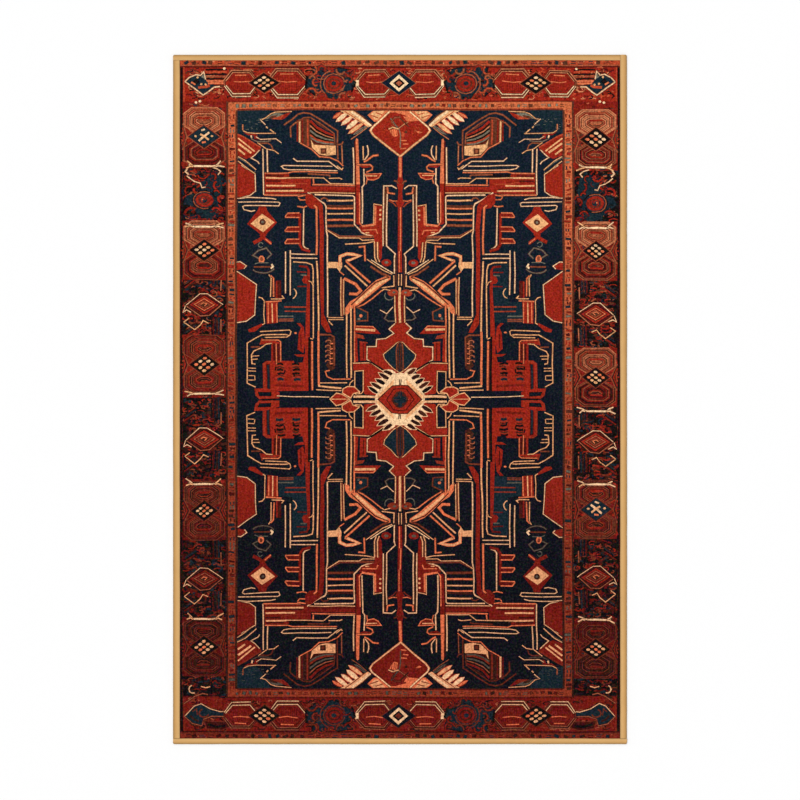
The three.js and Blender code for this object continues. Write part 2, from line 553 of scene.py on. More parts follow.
def flat_hooks(dyes, count, thick, left, right, low, high):
    """Small flat hooks strewn over an area, each turned its own way."""
    for _ in range(int(count)):
        x = hand.uniform(left + 0.8, right - 0.8)
        y = hand.uniform(low + 0.4, high - 0.4)
        wide = hand.uniform(0.6, 1.7)
        start = hand.uniform(0, 360)
        turn = hand.choice((-1, 1)) * hand.uniform(70, 190)
        hook = arc(x, y, wide, start, start + turn, 3, radius_y=wide * hand.uniform(0.3, 0.7))
        hook = [(max(left, min(right, px)), py) for px, py in hook]
        line(hand.choice(dyes), thick * hand.uniform(0.6, 1.1), hook)


def curly_ground(low, high, per_cm, grounds, curls, left=-BORDER_HALF, right=BORDER_HALF):
    """A panel full of small flat hooks, dark ones first and bright ones over them."""
    box(grounds[0], left, right, low, high)
    count = (high - low) * per_cm * (right - left) / (2 * BORDER_HALF)
    flat_hooks(grounds, count * 0.7, 0.9, left, right, low, high)
    flat_hooks(curls, count, 0.45, left, right, low, high)


DARK_GROUNDS = ("ink", "teal", "navy", "maroon", "teal")
WARM_GROUNDS = ("ink", "maroon", "umber", "shadow", "teal", "maroon", "madder")
RED_GROUNDS = ("madder", "maroon", "red", "shadow")
CURLS = ("madder", "red", "red", "rust", "madder", "shield", "shadow", "teal", "ink")


def striped_patch(corners, dyes, width, count, step):
    """Lines side by side: the first runs between the two corners, and each next one is a step on."""
    for index in range(count):
        path = [(x + step[0] * index, y + step[1] * index) for x, y in corners]
        line(dyes[index % len(dyes)], width, path)


# %% Compartments of the side border
def nested_shields(rings, lines, grounds):
    """Thin shield outlines one inside the other, with the point down."""
    for ring in range(rings):
        line_dye = lines[0] if ring in (0, 4) else hand.choice(lines)
        for dye, inset in ((line_dye, 0), (grounds[ring % len(grounds)], hand.uniform(0.2, 0.3))):
            wide = 7.2 - 0.62 * ring - inset
            top = 10.4 - 0.55 * ring - inset
            point = -0.7 + 0.68 * ring + inset * 1.2
            flat = 0.06 * ring * wide
            waist = point + 0.6 * (wide - flat)
            shoulder = max(waist + 0.05, top - 2 + 0.2 * ring)
            crown = max(top, shoulder + 0.1)
            half = [(wide * 0.62, crown), (wide, shoulder), (wide, waist), (flat + 0.1, point)]
            fill(dye, half + [(-x, y) for x, y in reversed(half)])
        for _ in range(3):
            x = hand.uniform(-0.6, 0.6) * wide
            y = hand.choice((top - 0.15, waist, point + 0.4))
            line(hand.choice(lines + grounds), 0.3, [(x - 0.5, y), (x + 0.5, y)])


LATTICE_ROWS = 3


def lattice_diamond(half_width, half_height):
    """A dark diamond with a lattice of pale dots that lean to one side."""
    rims = (("rust", 0.75, 0.5), ("maroon", 0.35, 0.25), ("ink", 0, 0))
    diamonds(*((dye, half_width + more_x, half_height + more_y) for dye, more_x, more_y in rims))
    step_x = half_width / (LATTICE_ROWS + 0.7)
    step_y = half_height / (LATTICE_ROWS + 0.7)
    for i in range(LATTICE_ROWS):
        for j in range(LATTICE_ROWS):
            x = (i - j) * step_x + hand.uniform(-0.08, 0.08)
            y = (i + j - LATTICE_ROWS + 1) * step_y + hand.uniform(-0.08, 0.08)
            dye = hand.choice(("straw", "peach", "coral"))
            dot = disc(0, 0, step_x * 0.56, step_y * 0.5, steps=6)
            fill(dye, [(x + px, y + py + 0.12 * px) for px, py in dot])


def crossed_diamond():
    """The navy diamond with a pale cross and two spots."""
    diamonds(("rust", 6, 4.4), ("maroon", 5.6, 4.1), ("teal", 5.3, 3.8))
    line("straw", 0.75, [(-1.9, -1.5), (-0.4, -0.2), (1.9, 1.6)])
    line("peach", 0.65, [(-1.3, 0.9), (0.2, 0.1), (1.7, -1.1)])
    line("coral", 0.6, [(-0.8, -2), (0.6, -1.8)])
    line("straw", 0.6, [(-0.9, 2.1), (0.4, 2.6)])
    for x, y in ((-3, 0.2), (2.9, 0.2)):
        fill("peach", disc(x, y, 0.5, 0.4, steps=6))


LIGHT_SHIELD = (("tan", "shield", "rust"), ("rust", "shadow", "madder", "umber"))
DEEP_SHIELD = (("rust", "madder", "maroon"), ("shadow", "maroon", "ink", "madder"))
MIDDLE_SHIELD = (("rust", "shield", "brick", "madder"), ("shadow", "umber", "madder", "ink"))
DARK_SHIELD = (("rust", "madder", "umber"), ("shadow", "ink", "maroon"))


def shield_dyes(height):
    """Line and ground dyes of the upper and the lower shield: the pairs darken down the rug."""
    if height > 30:
        return LIGHT_SHIELD, DEEP_SHIELD
    return (MIDDLE_SHIELD, MIDDLE_SHIELD) if height > -60 else (DARK_SHIELD, DARK_SHIELD)


def shield_pair(diamond_half, height, crossed=False):
    """Two nested shields, point to point, with a diamond over the place where they meet."""
    curly_ground(-10.4, 10.4, 5, RED_GROUNDS, CURLS)
    for way, (lines, grounds) in zip((1, -1), shield_dyes(height)):
        with placed(scale_y=way):
            nested_shields(9, lines, grounds)
            line("red", 0.5, [(-2.4, 6.4), (2, 6.3)])
            line("madder", 0.4, [(-2.8, 8.4), (2.6, 8.5)])
    for side in (1, -1):
        with placed(scale_x=side):
            for ring, dye in enumerate(("rust", "shadow", "red", "umber", "brick", "ink", "madder")):
                reach = 4.6 - 0.75 * ring
                tip = diamond_half + 0.6 + 0.5 * ring
                line(dye, 0.42, [(7.6, reach), (tip, 0), (7.6, -reach)])
    if crossed:
        crossed_diamond()
    else:
        lattice_diamond(diamond_half, diamond_half * 0.74)


def bone_bar():
    """A pale bar with forked ends, across the border."""
    sag = hand.uniform(-0.4, 0.2)
    line("umber", 1, [(-6, 0.1), (-3, sag), (3, sag), (6, 0.2)])
    line("straw", 0.5, [(-5.4, 0.2), (-3, sag), (3, sag), (5, 0.3)])
    line("cream", 0.6, [(-3.6, sag + 0.05), (-0.2, sag + 0.1), (2.2, sag)])
    for side in (-1, 1):
        for rise in (1, -1):
            reach = hand.uniform(5.6, 7.1)
            lift = rise * hand.uniform(0.6, 1.6)
            path = [(side * 3.9, sag + 0.1 * rise), (side * 4.9, 0.2 + lift * 0.35)]
            path.append((side * reach, 0.2 + lift))
            line("umber", 0.75, path)
            line(hand.choice(("straw", "peach")), 0.42, path)


def rosette_panel():
    """A ring flower on a navy panel, with curls all round it."""
    curly_ground(-8.2, 11.5, 8, DARK_GROUNDS, CURLS)
    patch = [(-1.6, -5.4), (2.6, -7.2), (4.8, -3), (5.2, 1), (6.6, 4), (5.8, 9), (3.4, 10.8), (1.2, 8.4)]
    patch += [(-1.8, 9), (-2.8, 5.6), (-1.6, 3.4), (-6.4, 1.8), (-7.4, -0.6), (-5, -1.6)]
    fill("teal", patch)
    flat_hooks(("navy", "ink", "maroon", "madder", "teal"), 46, 0.4, -7.4, 7.4, -8, 11)
    hooks = (
        (4.2, -4.2, 1.6, 20, 150), (-4.6, -4.8, 2.2, 50, 170), (5, 5.6, 1.6, 120, 260),
        (-5.2, 3.6, 1.6, 60, 220), (-0.6, 9.6, 1.8, 190, 330), (3, 8.6, 1.1, -60, 120),
        (-3, 6.2, 1.5, -80, 60), (-5.8, 8.6, 1.3, 200, 330), (6.2, 0.6, 1.2, 60, 250),
        (0.6, -6.2, 1.4, 200, 350), (-2.6, 3.8, 1.2, 150, 300), (4.4, 2.8, 1, 0, 150),
    )
    for x, y, radius, start, stop in hooks:
        hook = arc(x, y, radius, start, stop, 4)
        line("ink", 1, hook)
        line(hand.choice(("red", "madder", "red")), hand.uniform(0.45, 0.8), hook)
    line("ink", 0.5, arc(0.1, 0.1, 4.3, 20, 340, 10, radius_y=3.3))
    line("rust", 0.35, arc(0.1, 0.1, 4, 60, 290, 9, radius_y=3.1))
    fill("madder", disc(0.1, 0.1, 3.4, 2.6))
    line("red", 0.7, arc(0.1, 0.1, 2.8, 20, 350, 9, radius_y=2.1))
    line("umber", 0.3, arc(0, 0.1, 2.1, 40, 330, 8, radius_y=1.5))
    fill("teal", disc(-0.3, 0.1, 1.5, 1.1))
    line("red", 0.4, arc(-0.3, 0.2, 0.9, 0, 260, 5))
    fill("coral", disc(-0.6, 0.3, 0.35, 0.3, steps=6))
    yarn("straw", 0.6, [(-5.6, 11.9), (-6.6, 10.4), (-5.4, 9.3)])
    yarn("straw", 0.4, [(-6, 8.8), (-4.8, 7.8), (-3.4, 6.8), (-1.4, 6.2), (-0.8, 4.6), (0.4, 4.9)])
    yarn("straw", 0.4, [(2.5, 11.9), (4.4, 11.3), (5.7, 10.4), (4.8, 9.2)])


def nested_diamond_panel(low, high, heart="coral"):
    """Diamonds one inside the other, on the curly ground."""
    curly_ground(low, high, 7, WARM_GROUNDS, CURLS)
    for start, stop in ((low + 1.2, -4.2), (4.4, high - 0.6)):
        tall = min(stop - start, 6.5)
        upright = [(2.6, stop - tall), (2.6, stop)]
        slanted = [(-7.4, start + 1), (-3.6, start + 3.6)]
        striped_patch(upright, ("ink", "maroon", "navy", "shadow", "teal"), 0.5, 6, (0.62, 0))
        striped_patch(slanted, ("shadow", "madder", "ink", "teal"), 0.42, 5, (0.25, 0.75))
    diamonds(("ink", 7.2, 4.8), ("maroon", 6.5, 4.2))
    yarn("straw", 0.3, [(-6.4, -0.2), (-1.6, 3.9), (1, 3.9), (5.2, 1.2), (6.6, 0.2)])
    yarn("tan", 0.3, [(6, 0), (1.8, -3.6), (-1.4, -3.9), (-6.2, -0.6)])
    diamonds(("ink", 5.6, 3.5), ("red", 5.2, 3.2), ("shadow", 4.2, 2.5))
    diamonds((heart, 3.8, 2.2), ("madder", 3.3, 1.9), ("rust", 2.5, 1.4), ("umber", 1.9, 1.05), y=0.1)
    line("coral", 0.3, [(-1.2, 0.2), (-0.3, 0.8), (0.9, 0.4), (0.1, -0.4)])
    for start, stop in ((-9.4, -4.9), (5.2, 9.4)):
        yarn("tan", 0.36, [(5.9, start), (6, stop)])
    yarn("straw", 0.35, [(-6.6, -0.4), (-7.4, -2.6), (-6.2, -1.8), (-4.6, -2.6)])
    yarn("peach", 0.36, [(-7, -6), (-3.4, -8.6), (-1.4, -7), (-0.4, -5.4), (1.4, -6.2)])
    yarn("peach", 0.34, [(-7, -6), (-5.2, -4.6)])


SIDE_BORDER_MIDDLE = 69
LIGHTER_SIDE = 25  # the right border has the dyes of the left one this much higher up
LEFT_HEIGHTS = {
    "shields": (52.6, 12.4, -39.2, -87.2), "bone": (82.4, 61.2, 2, -29.6, -77),
    "rosette": (70,), "diamond": (33.2, -14, -63.4), "crossed": (92.6,), "end": -99.5,
}
RIGHT_HEIGHTS = {
    "shields": (91.8, 52.3, 7.8, -88), "bone": (81.6, 60.8, -3.8, -29.8, -77.6),
    "rosette": (69,), "diamond": (30, -15, -62.8), "crossed": (-38.8,), "end": -100,
}
for side, heights in ((-1, LEFT_HEIGHTS), (1, RIGHT_HEIGHTS)):
    with placed(x=side * SIDE_BORDER_MIDDLE, scale_x=-side):
        curly_ground(-105, 105, 5, RED_GROUNDS, CURLS)
        for y in heights["rosette"]:
            with placed(y=y):
                rosette_panel()
        for y in heights["diamond"]:
            with placed(y=y):
                nested_diamond_panel(-14.2, 14.6, heart="coral" if y > 0 else "tan")
        curly_ground(-104.5, heights["end"] + 3, 6, WARM_GROUNDS, CURLS)
        for y in heights["shields"]:
            with placed(y=y):
                shield_pair(hand.uniform(4.5, 5.2), y + (LIGHTER_SIDE if side > 0 else 0))
        for y in heights["crossed"]:
            with placed(y=y):
                shield_pair(5.4, y + (LIGHTER_SIDE if side > 0 else 0), crossed=True)
        for y in heights["bone"]:
            with placed(y=y):
                bone_bar()
print(len(cartoon.shapes), "shapes with the side borders")

# %% [markdown]
# ## End borders
# The end borders run right across. From the corner inwards: a leaf with a striped stalk, an
# octagon, a latticed diamond, a second octagon, a rosette on navy, a third octagon and, in
# the middle, a navy diamond with a pale ring.

# %% Half of an end border
def octagon(half_width, half_height):
    """A long octagon in red with pale double outlines."""
    flat = half_width * 0.55
    corners = [(-half_width, 0.8), (-flat, half_height), (flat, half_height), (half_width, 0.8)]
    corners += [(half_width, -0.8), (flat, -half_height), (-flat, -half_height), (-half_width, -0.8)]
    for dye, grow in (("ink", 1.26), ("rust", 1.22), ("maroon", 1.12), ("umber", 1.06), ("red", 1)):
        fill(dye, [(x * (1 + (grow - 1) * 0.6), y * grow) for x, y in corners])
    line("madder", 0.6, [(x * 0.8, y * 0.74) for x, y in corners[:4]])
    line("madder", 0.6, [(x * 0.8, y * 0.74) for x, y in corners[4:]])
    for step in range(-4, 5):
        x = step * flat / 4.5
        line("madder", 0.25, [(x, -half_height * 0.6), (x + 0.2, half_height * 0.5)])
    yarn("tan", 0.34, corners[:4], "ink")
    yarn("straw", 0.4, corners[4:], "ink")
    yarn("tan", 0.3, [(x * 1.14, y * 1.2) for x, y in corners[:3]])
    yarn("straw", 0.34, [(x * 1.1, y * 1.28) for x, y in corners[5:8]], "ink")
    line("coral", 0.3, [(-flat * 0.9, 0.5), (-flat * 0.1, 0.2), (flat, 0.6)])
    line("coral", 0.35, [(-flat * 0.7, half_height * 0.72), (flat * 0.6, half_height * 0.75)])


def corner_leaf():
    """A pointed leaf whose stalk is a bundle of stripes."""
    for step, dye in enumerate(("ink", "brick", "ink", "rust", "ink", "coral", "coral", "umber")):
        y = 116.2 - 0.8 * step
        line(dye, 0.55, [(-68.6, y), (-65, y + 0.1), (-61, y - 0.1)])
    blade = [(-75.8, 111.9), (-74.4, 113.4), (-72, 114.5), (-70.4, 114.2), (-69.2, 115.5)]
    blade += [(-68.6, 112.8), (-67.6, 111.2), (-63.8, 110.6), (-65.6, 110.1), (-67.8, 108.4)]
    blade += [(-69.5, 107.3), (-72.8, 109.7)]
    fill("teal", blade)
    yarn("straw", 0.45, blade[:6])
    yarn("straw", 0.5, [
        (-63.6, 110.3), (-65.6, 110.2), (-67.8, 108.4), (-69.5, 107.3), (-72.8, 109.7), (-75.8, 111.9),
    ])
    fill("ink", [(-73.5, 111.5), (-72, 113.2), (-70.6, 112), (-72.2, 110.8)])
    line("coral", 0.6, [(-73.6, 111.8), (-72.2, 110.9)])
    line("brick", 0.9, [(-71.2, 109.9), (-68.4, 110.2), (-67.2, 110.8)])
    fill("sage", [(-70.2, 113.6), (-69.1, 114.9), (-68.9, 113)])
    for x, y in ((-70.1, 111.2), (-68.6, 111), (-71.4, 113.5)):
        fill("peach", disc(x, y, 0.42, steps=6))
    yarn("straw", 0.5, [(-61.2, 113), (-61.3, 110.3)])


def navy_rosette_block():
    """A ring flower on a navy block, with leafy hooks in its corners."""
    for reach, dye in ((1.1, "ink"), (1, "teal")):
        star = [
            (-8.3, -1.5), (-8, 2.6), (-5.6, 2.4), (-6.4, 5.4),
            (-2.2, 5.6), (-0.6, 4.2), (2.4, 5.6), (7.4, 4.6),
        ]
        star += [
            (5.4, 2.6), (8.3, 0.6), (7, -3), (4.4, -2.6),
            (2.4, -5.6), (-0.8, -5), (-1.6, -3.2), (-5.2, -4.2),
        ]
        fill(dye, [(x * reach, y * min(reach, 1.05)) for x, y in star])
    flat_hooks(("rust", "red", "shadow", "maroon", "navy", "ink"), 60, 0.42, -8.6, 8.6, -5.6, 5.6)
    hooks = (
        (-6.4, 4.6, 1.5, -130, 60), (-3.2, 4.9, 1.4, -20, 200), (3.4, 5, 1.6, 170, 330),
        (6.6, 4.4, 1.8, -160, 20), (-6.8, -3.4, 1.9, -20, 160), (-3, -5, 1.5, 10, 170),
        (4.6, -4.8, 1.6, 30, 200), (7, -4, 1.4, 80, 240), (-5.2, 0.6, 1.3, 100, 290),
        (6.4, 1.6, 1.1, -90, 90), (-6.6, 1.8, 1, 0, 180), (2, -4.9, 1.1, 180, 340),
        (-4.4, -2, 1.2, 200, 330), (0.2, 5.2, 1, 150, 330),
    )
    for index, (x, y, radius, start, stop) in enumerate(hooks):
        hook = arc(x, y, radius, start, stop, 4)
        line("shadow", 0.95, hook)
        line(("brick", "red", "rust", "red")[index % 4], 0.5, hook)
    line("rust", 0.4, arc(1.2, 0, 3.8, 10, 350, 12, radius_y=3.5))
    fill("madder", disc(1.2, 0, 3.4, 3))
    line("red", 0.8, arc(1.2, 0, 2.8, 15, 345, 10, radius_y=2.4))
    line("umber", 0.35, arc(1.2, 0, 2.1, 15, 345, 9, radius_y=1.8))
    fill("red", disc(1.2, 0, 1.6, 1.4))
    fill("teal", disc(1, 0.1, 0.9, 0.8))
    line("rust", 0.4, arc(0.8, 0, 4.6, 100, 230, 6))


def lower_corner_leaf():
    """The leaf of the lower corners: its stalk is plain, with a dark pod beside it."""
    fill("red", [
        (-60, 107.6), (-64, 107), (-70, 104.6), (-72, 104.4), (-70.4, 106.4), (-66, 109), (-61, 109.4),
    ])
    blade = [(-61.6, 110), (-63.4, 110.2), (-67, 109.2), (-70.2, 107.2), (-72.6, 108.2), (-76, 111.8)]
    blade += [(-73.4, 114.4), (-70, 115.2), (-69.2, 112.8), (-66.4, 111.8), (-61.6, 111.8)]
    fill("teal", blade)
    line("rust", 0.5, arc(-69.2, 110.7, 1.7, 20, 250, 6, radius_y=1.5))
    line("umber", 0.7, [(-74, 111.6), (-72.6, 113), (-71, 113.6)])
    line("rust", 0.4, [(-73.2, 110.2), (-71.8, 109.2), (-71.4, 111.4)])
    yarn("straw", 0.34, blade[:6])
    yarn("tan", 0.34, blade[5:])
    pod = [(-60.6, 113.4), (-66, 113.6), (-69.4, 113.3), (-68.2, 116.2), (-63, 116.6), (-59.4, 115.4)]
    fill("maroon", pod, rim="rust", rim_width=0.4)
    line("ink", 0.9, [(-61.4, 115), (-64.6, 115.4), (-67.8, 114.6)])
    yarn("tan", 0.4, [(-76.2, 107.2), (-72.4, 104.7), (-69.6, 103.6), (-67.8, 104)])
    yarn("straw", 0.45, arc(-73, 102.2, 1.4, 70, 250, 5))
    yarn("peach", 0.42, [(-70.2, 101.2), (-68.6, 101.6), (-67, 101.2)])


SCROLLS = ("maroon", "madder", "brick", "tan", "shield", "ink", "shadow")


def half_end_border(corner_motif, knots):
    """Half of an end border, from a corner to the middle of the rug."""
    flat_hooks(SCROLLS, 130, 0.45, -75.5, -61, 105.6, 116.6)
    flat_hooks(SCROLLS, 420, 0.4, -61, -1, 105.9, 116.6)
    corner_motif()
    octagons = ((-56, 111.4, 5.4, 3.7), (-39.6, 111.6, 6.4, 4.1), (-8.9, 111.5, 6, 3.9))
    for x, y, half_width, half_height in octagons:
        with placed(x=x, y=y):
            octagon(half_width, half_height)
    line("cream", 1.1, [(-15, 112.6), (-15, 110.6)])
    with placed(x=-47.9, y=111.5):
        lattice_diamond(5.2, 3.6)
    with placed(x=-24.4, y=111.3):
        navy_rosette_block()
    for x, y in knots:
        fill("cream", disc(x, y, 0.5, 0.45, steps=6))


PALE_KNOTS = ((-71.9, 104.6), (-70.5, 105), (-62, 116.5))
for end, corner_motif, knots in ((1, corner_leaf, PALE_KNOTS), (-1, lower_corner_leaf, ())):
    with placed(scale_y=end):
        for side in (1, -1):
            with placed(scale_x=side):
                half_end_border(corner_motif, knots)
        with placed(x=-0.5, y=111.6):
            diamonds(("rust", 6.4, 4.5), ("navy", 6, 4.2), ("cream", 3.4, 3))
            diamonds(("ink", 2.1, 1.8), ("rust", 1.2, 1))
print(len(cartoon.shapes), "shapes with the end borders")

# %% [markdown]
# ## The field
# The field is drawn for one quarter and mirrored to the others. The motifs stand close
# together, so the coordinates are those of the whole rug, in the quarter where x is
# negative and y is positive.

# %% Motifs along the field's side edge
def edge_octagons():
    """Red half octagons that grow out of the field's side edge."""
    upper = [(-57.3, 83.2), (-55.8, 82.5), (-50.9, 79.4), (-50.9, 73.3), (-53, 71.8), (-57.3, 70.9)]
    fill("red", upper)
    yarn("straw", 0.35, upper[1:])
    lower = [(-57.3, 45.2), (-50.6, 40.4), (-50.9, 36), (-51.2, 29.8), (-54, 27.6), (-57.3, 27)]
    fill("red", lower)
    yarn("straw", 0.35, lower)
    small = [(-57.3, 48.4), (-56.2, 48.5), (-54, 47), (-54.8, 46), (-57.3, 45.6)]
    fill("red", small)
    yarn("straw", 0.35, small[:4])


def striped_flag():
    """A slanted red flag with pale stripes, on the side edge."""
    flag = [
        (-57.3, 93.6), (-55.5, 92.8), (-49, 88.8), (-49.2, 87.6),
        (-51.6, 85.9), (-54, 84.8), (-57.3, 86),
    ]
    fill("red", flag)
    line("brick", 0.5, flag[:3])
    line("peach", 0.5, [(-57.1, 92.1), (-51.2, 87.4)])
    line("peach", 0.7, [(-57.1, 90.3), (-52.4, 86.9)])
    line("peach", 0.6, [(-57.1, 88.2), (-54.6, 86.3)])
    yarn("straw", 0.35, [(-49.5, 87.9), (-51, 86.3), (-52.4, 85.2), (-50, 83.8), (-49.4, 82.9)])
    fill("sage", [(-57.3, 85.6), (-54.5, 84), (-50.7, 80.8), (-50.9, 79.4), (-53.2, 81), (-57.3, 84)])
    line("navy", 0.9, [(-57.3, 84.6), (-54.5, 83), (-51, 80.2)])
    yarn("peach", 0.35, [(-57.2, 85.6), (-54.5, 84.2), (-51.2, 81.4), (-50.6, 80.8)])
    yarn("peach", 0.35, [(-57.2, 84), (-55.5, 82.8), (-53, 80.8), (-50.8, 79.4)])


def corner_banner():
    """Loose pen-like strokes and a small banner in the corner of the field."""
    fill("teal", [(-57.3, 101.8), (-57.3, 94.2), (-50.5, 94.2), (-48.4, 97.4), (-45.6, 101.8)])
    fill("sage", [(-47.6, 98.7), (-46, 100.4), (-44, 101), (-41, 100.6), (-43.6, 99.2)])
    fill("umber", [(-46.6, 98.9), (-45.4, 99.9), (-43, 100.2), (-44, 99.2)])
    fill("brick", [(-45.6, 98.8), (-42.2, 100), (-38.4, 101.4), (-39.8, 99.8), (-41.6, 98.7)])
    fill("red", [(-42, 98.9), (-40.6, 100.6), (-38.8, 101.2), (-39.6, 100), (-41, 98.9)])
    yarn("peach", 0.3, [(-38.2, 101.5), (-44, 101.2), (-45.6, 100.6), (-47.6, 98.9), (-49.4, 98.4)])
    yarn("straw", 0.36, [(-49.4, 98.6), (-47.4, 96.8)])
    line("peach", 0.45, [(-47.2, 96.2), (-46.6, 95.6)])
    line("peach", 0.4, [(-45.8, 95.2), (-43.9, 93.5)])
    yarn("tan", 0.4, [(-55.3, 97), (-55.3, 95)])
    line("red", 0.5, [(-54.8, 94.3), (-53.4, 93.3), (-50.6, 93.3)])
    yarn("peach", 0.28, [(-55.2, 94.8), (-53.6, 93.9), (-50.8, 93.7), (-43.8, 93.7)])
    line("straw", 0.55, [(-52.4, 93), (-52.2, 92)])
    fill("red", [(-51.6, 93.4), (-50.4, 93.2), (-49.6, 91.6), (-51.2, 91.8)])
    yarn("straw", 0.28, [(-50.8, 92.6), (-49.2, 91.6), (-46, 91.7), (-43.8, 91.8), (-41.8, 90.5)])
    yarn("sage", 0.26, [(-52.4, 91.8), (-50.2, 90.8), (-47.2, 90.9), (-45.4, 91.2)])
    yarn("rust", 0.3, [(-49.8, 90.2), (-46.6, 90.3), (-45.4, 89.6), (-44.8, 88.2)])
    yarn("peach", 0.3, [(-50.2, 90.5), (-47, 88.2), (-44.4, 87.8), (-42.9, 86.6)])
    for step in range(16):
        x = hand.uniform(-57, -47)
        y = hand.uniform(95, 99)
        line("sage", 0.14, [(x, y), (x + hand.uniform(0.4, 1.2), y)])


# %% Motifs of the field's upper quarter
def tall_double_lines():
    """Thin pairs of uprights near the field's side edge."""
    for x, low in ((-48.1, 72), (-46.6, 79.8)):
        yarn("straw", 0.45, [(x - 0.2, 88.3), (x, 80), (x, low)])
    for x, high, low in ((-40.3, 52, 37.4), (-38.6, 52.4, 36.8)):
        yarn("straw", 0.45, [(x, high), (x - 0.1, low)])
    for y in (51.1, 49.7):
        yarn("straw", 0.4, [(-38.5, y), (-29, y)])


def house():
    """A striped shape like a thatched hut."""
    outline = [(-41, 96.7), (-38, 98.9), (-36, 100.4), (-33.8, 101), (-31.5, 100.6), (-28, 98.6)]
    outline += [(-24.2, 96), (-22, 94.7), (-22, 84.6)]
    wall = [(-36.7, 98.2), (-33.6, 99.4), (-31, 98.6), (-26, 95.6), (-23, 92.6), (-22.4, 89.4)]
    wall += [(-22.4, 86), (-28.4, 85.8), (-31.2, 88.2), (-35.4, 90.6)]
    fill("umber", wall)
    planks = (
        (-36.2, "madder", 90.9), (-35.4, "peach", 90.6), (-34.4, "madder", 90.3),
        (-33.4, "umber", 90), (-32.5, "brick", 89.4),
    )
    for x, dye, low in planks:
        line(dye, 0.6, [(x, 98.6), (x, low)])
    thatch = (
        ("navy", 0.9), ("red", 1), ("ink", 0.5), ("tan", 0.35), ("ink", 0.6),
        ("sage", 0.55), ("ink", 0.5), ("brick", 0.6), ("sage", 0.45), ("maroon", 0.5),
    )
    for step, (dye, width) in enumerate(thatch):
        drop = 0.82 * step
        sweep = [(-31.6, 98.9 - drop), (-29.4, 96.4 - drop * 0.85)]
        sweep += [(-26.4, 94.6 - drop * 0.7), (-23.4, 93.2 - drop * 0.5)]
        line(dye, width, sweep)
    fill("peach", [
        (-31.4, 91.6), (-30.4, 89.7), (-26, 89.4), (-22.6, 89.3),
        (-22.5, 86.2), (-26, 85.9), (-28.6, 86.4), (-31, 88.6),
    ])
    box("umber", -28.1, -26, 86.5, 88.5)
    box("rust", -27.5, -26.6, 87, 88)
    line("navy", 1.3, outline)
    yarn("rust", 0.4, outline)
    yarn("rust", 0.3, [(-36, 98), (-34, 99.2), (-31.6, 99.3), (-27.6, 96.8), (-23.2, 93.6), (-22.9, 90)])
    yarn("rust", 0.4, [(-38.5, 92.5), (-38.6, 96), (-37, 97.6), (-35.8, 98)])
    yarn("coral", 0.4, [(-35.2, 90.5), (-31.2, 88.2), (-28.5, 85.6), (-25, 85.4), (-22, 84), (-20.1, 82.2)])
    yarn("rust", 0.36, [(-20, 90.8), (-20.5, 89.8), (-22.2, 89.6)])
    yarn("tan", 0.36, [(-20.5, 89.4), (-20.4, 83)])


def stacked_lines():
    """Long flat loops under the hut."""
    yarn("straw", 0.4, [(-37.8, 85), (-36.5, 84), (-25.2, 84), (-21.8, 81.4), (-20.3, 80.9)])
    yarn("straw", 0.35, [
        (-24, 82.2), (-41, 82.5), (-41.8, 82.1), (-41, 81.3), (-39.2, 80.9), (-22.2, 80.7),
    ])
    yarn("peach", 0.35, [(-20.2, 81.6), (-20.6, 81), (-22.4, 82.4)])
    yarn("rust", 0.4, [(-32.6, 79.3), (-25.2, 79.1), (-24.6, 78.6)])
    yarn("peach", 0.35, [(-40, 78), (-26.8, 78), (-24.4, 76), (-16, 76)])
    yarn("peach", 0.35, [(-25, 77.9), (-21.4, 78), (-20.4, 77.6)])


def striped_band():
    """The wide red band with pale stripes, and the long band that it joins."""
    fill("red", [(-47.6, 79.6), (-39.6, 79.6), (-38.6, 78.2), (-31.4, 78.2), (-31.4, 72.6), (-47.6, 72.4)])
    for y, right in ((79, -41), (77.2, -42), (74.4, -34.5)):
        line("maroon", 0.6, [(-47.2, y - 0.3), (right, y - 0.3)])
    for y, right in ((78, -38.4), (75.3, -37), (73.5, -34)):
        line("peach", 0.55, [(-47.2, y), (right, y)])
    line("brick", 0.35, [(-42, 76.6), (-38.6, 76), (-33, 76)])
    yarn("coral", 0.4, [(-47.6, 79.6), (-39.6, 79.7), (-38, 80.2), (-22, 80)])
    yarn("coral", 0.5, [(-48, 72), (-33, 72)])
    fill("ink", [(-38.8, 79.4), (-31.5, 79.4), (-31.5, 78.4), (-39.4, 78.4)])
    box("red", -32, -14.3, 73, 75)
    line("madder", 0.7, [(-32, 73.6), (-14.3, 73.4)])
    yarn("coral", 0.5, [(-31, 75.6), (-14.4, 75.5)])
    yarn("coral", 0.5, [(-30.6, 78), (-30.5, 76)])
    yarn("peach", 0.35, [(-32.6, 72.8), (-15.5, 72.8)])


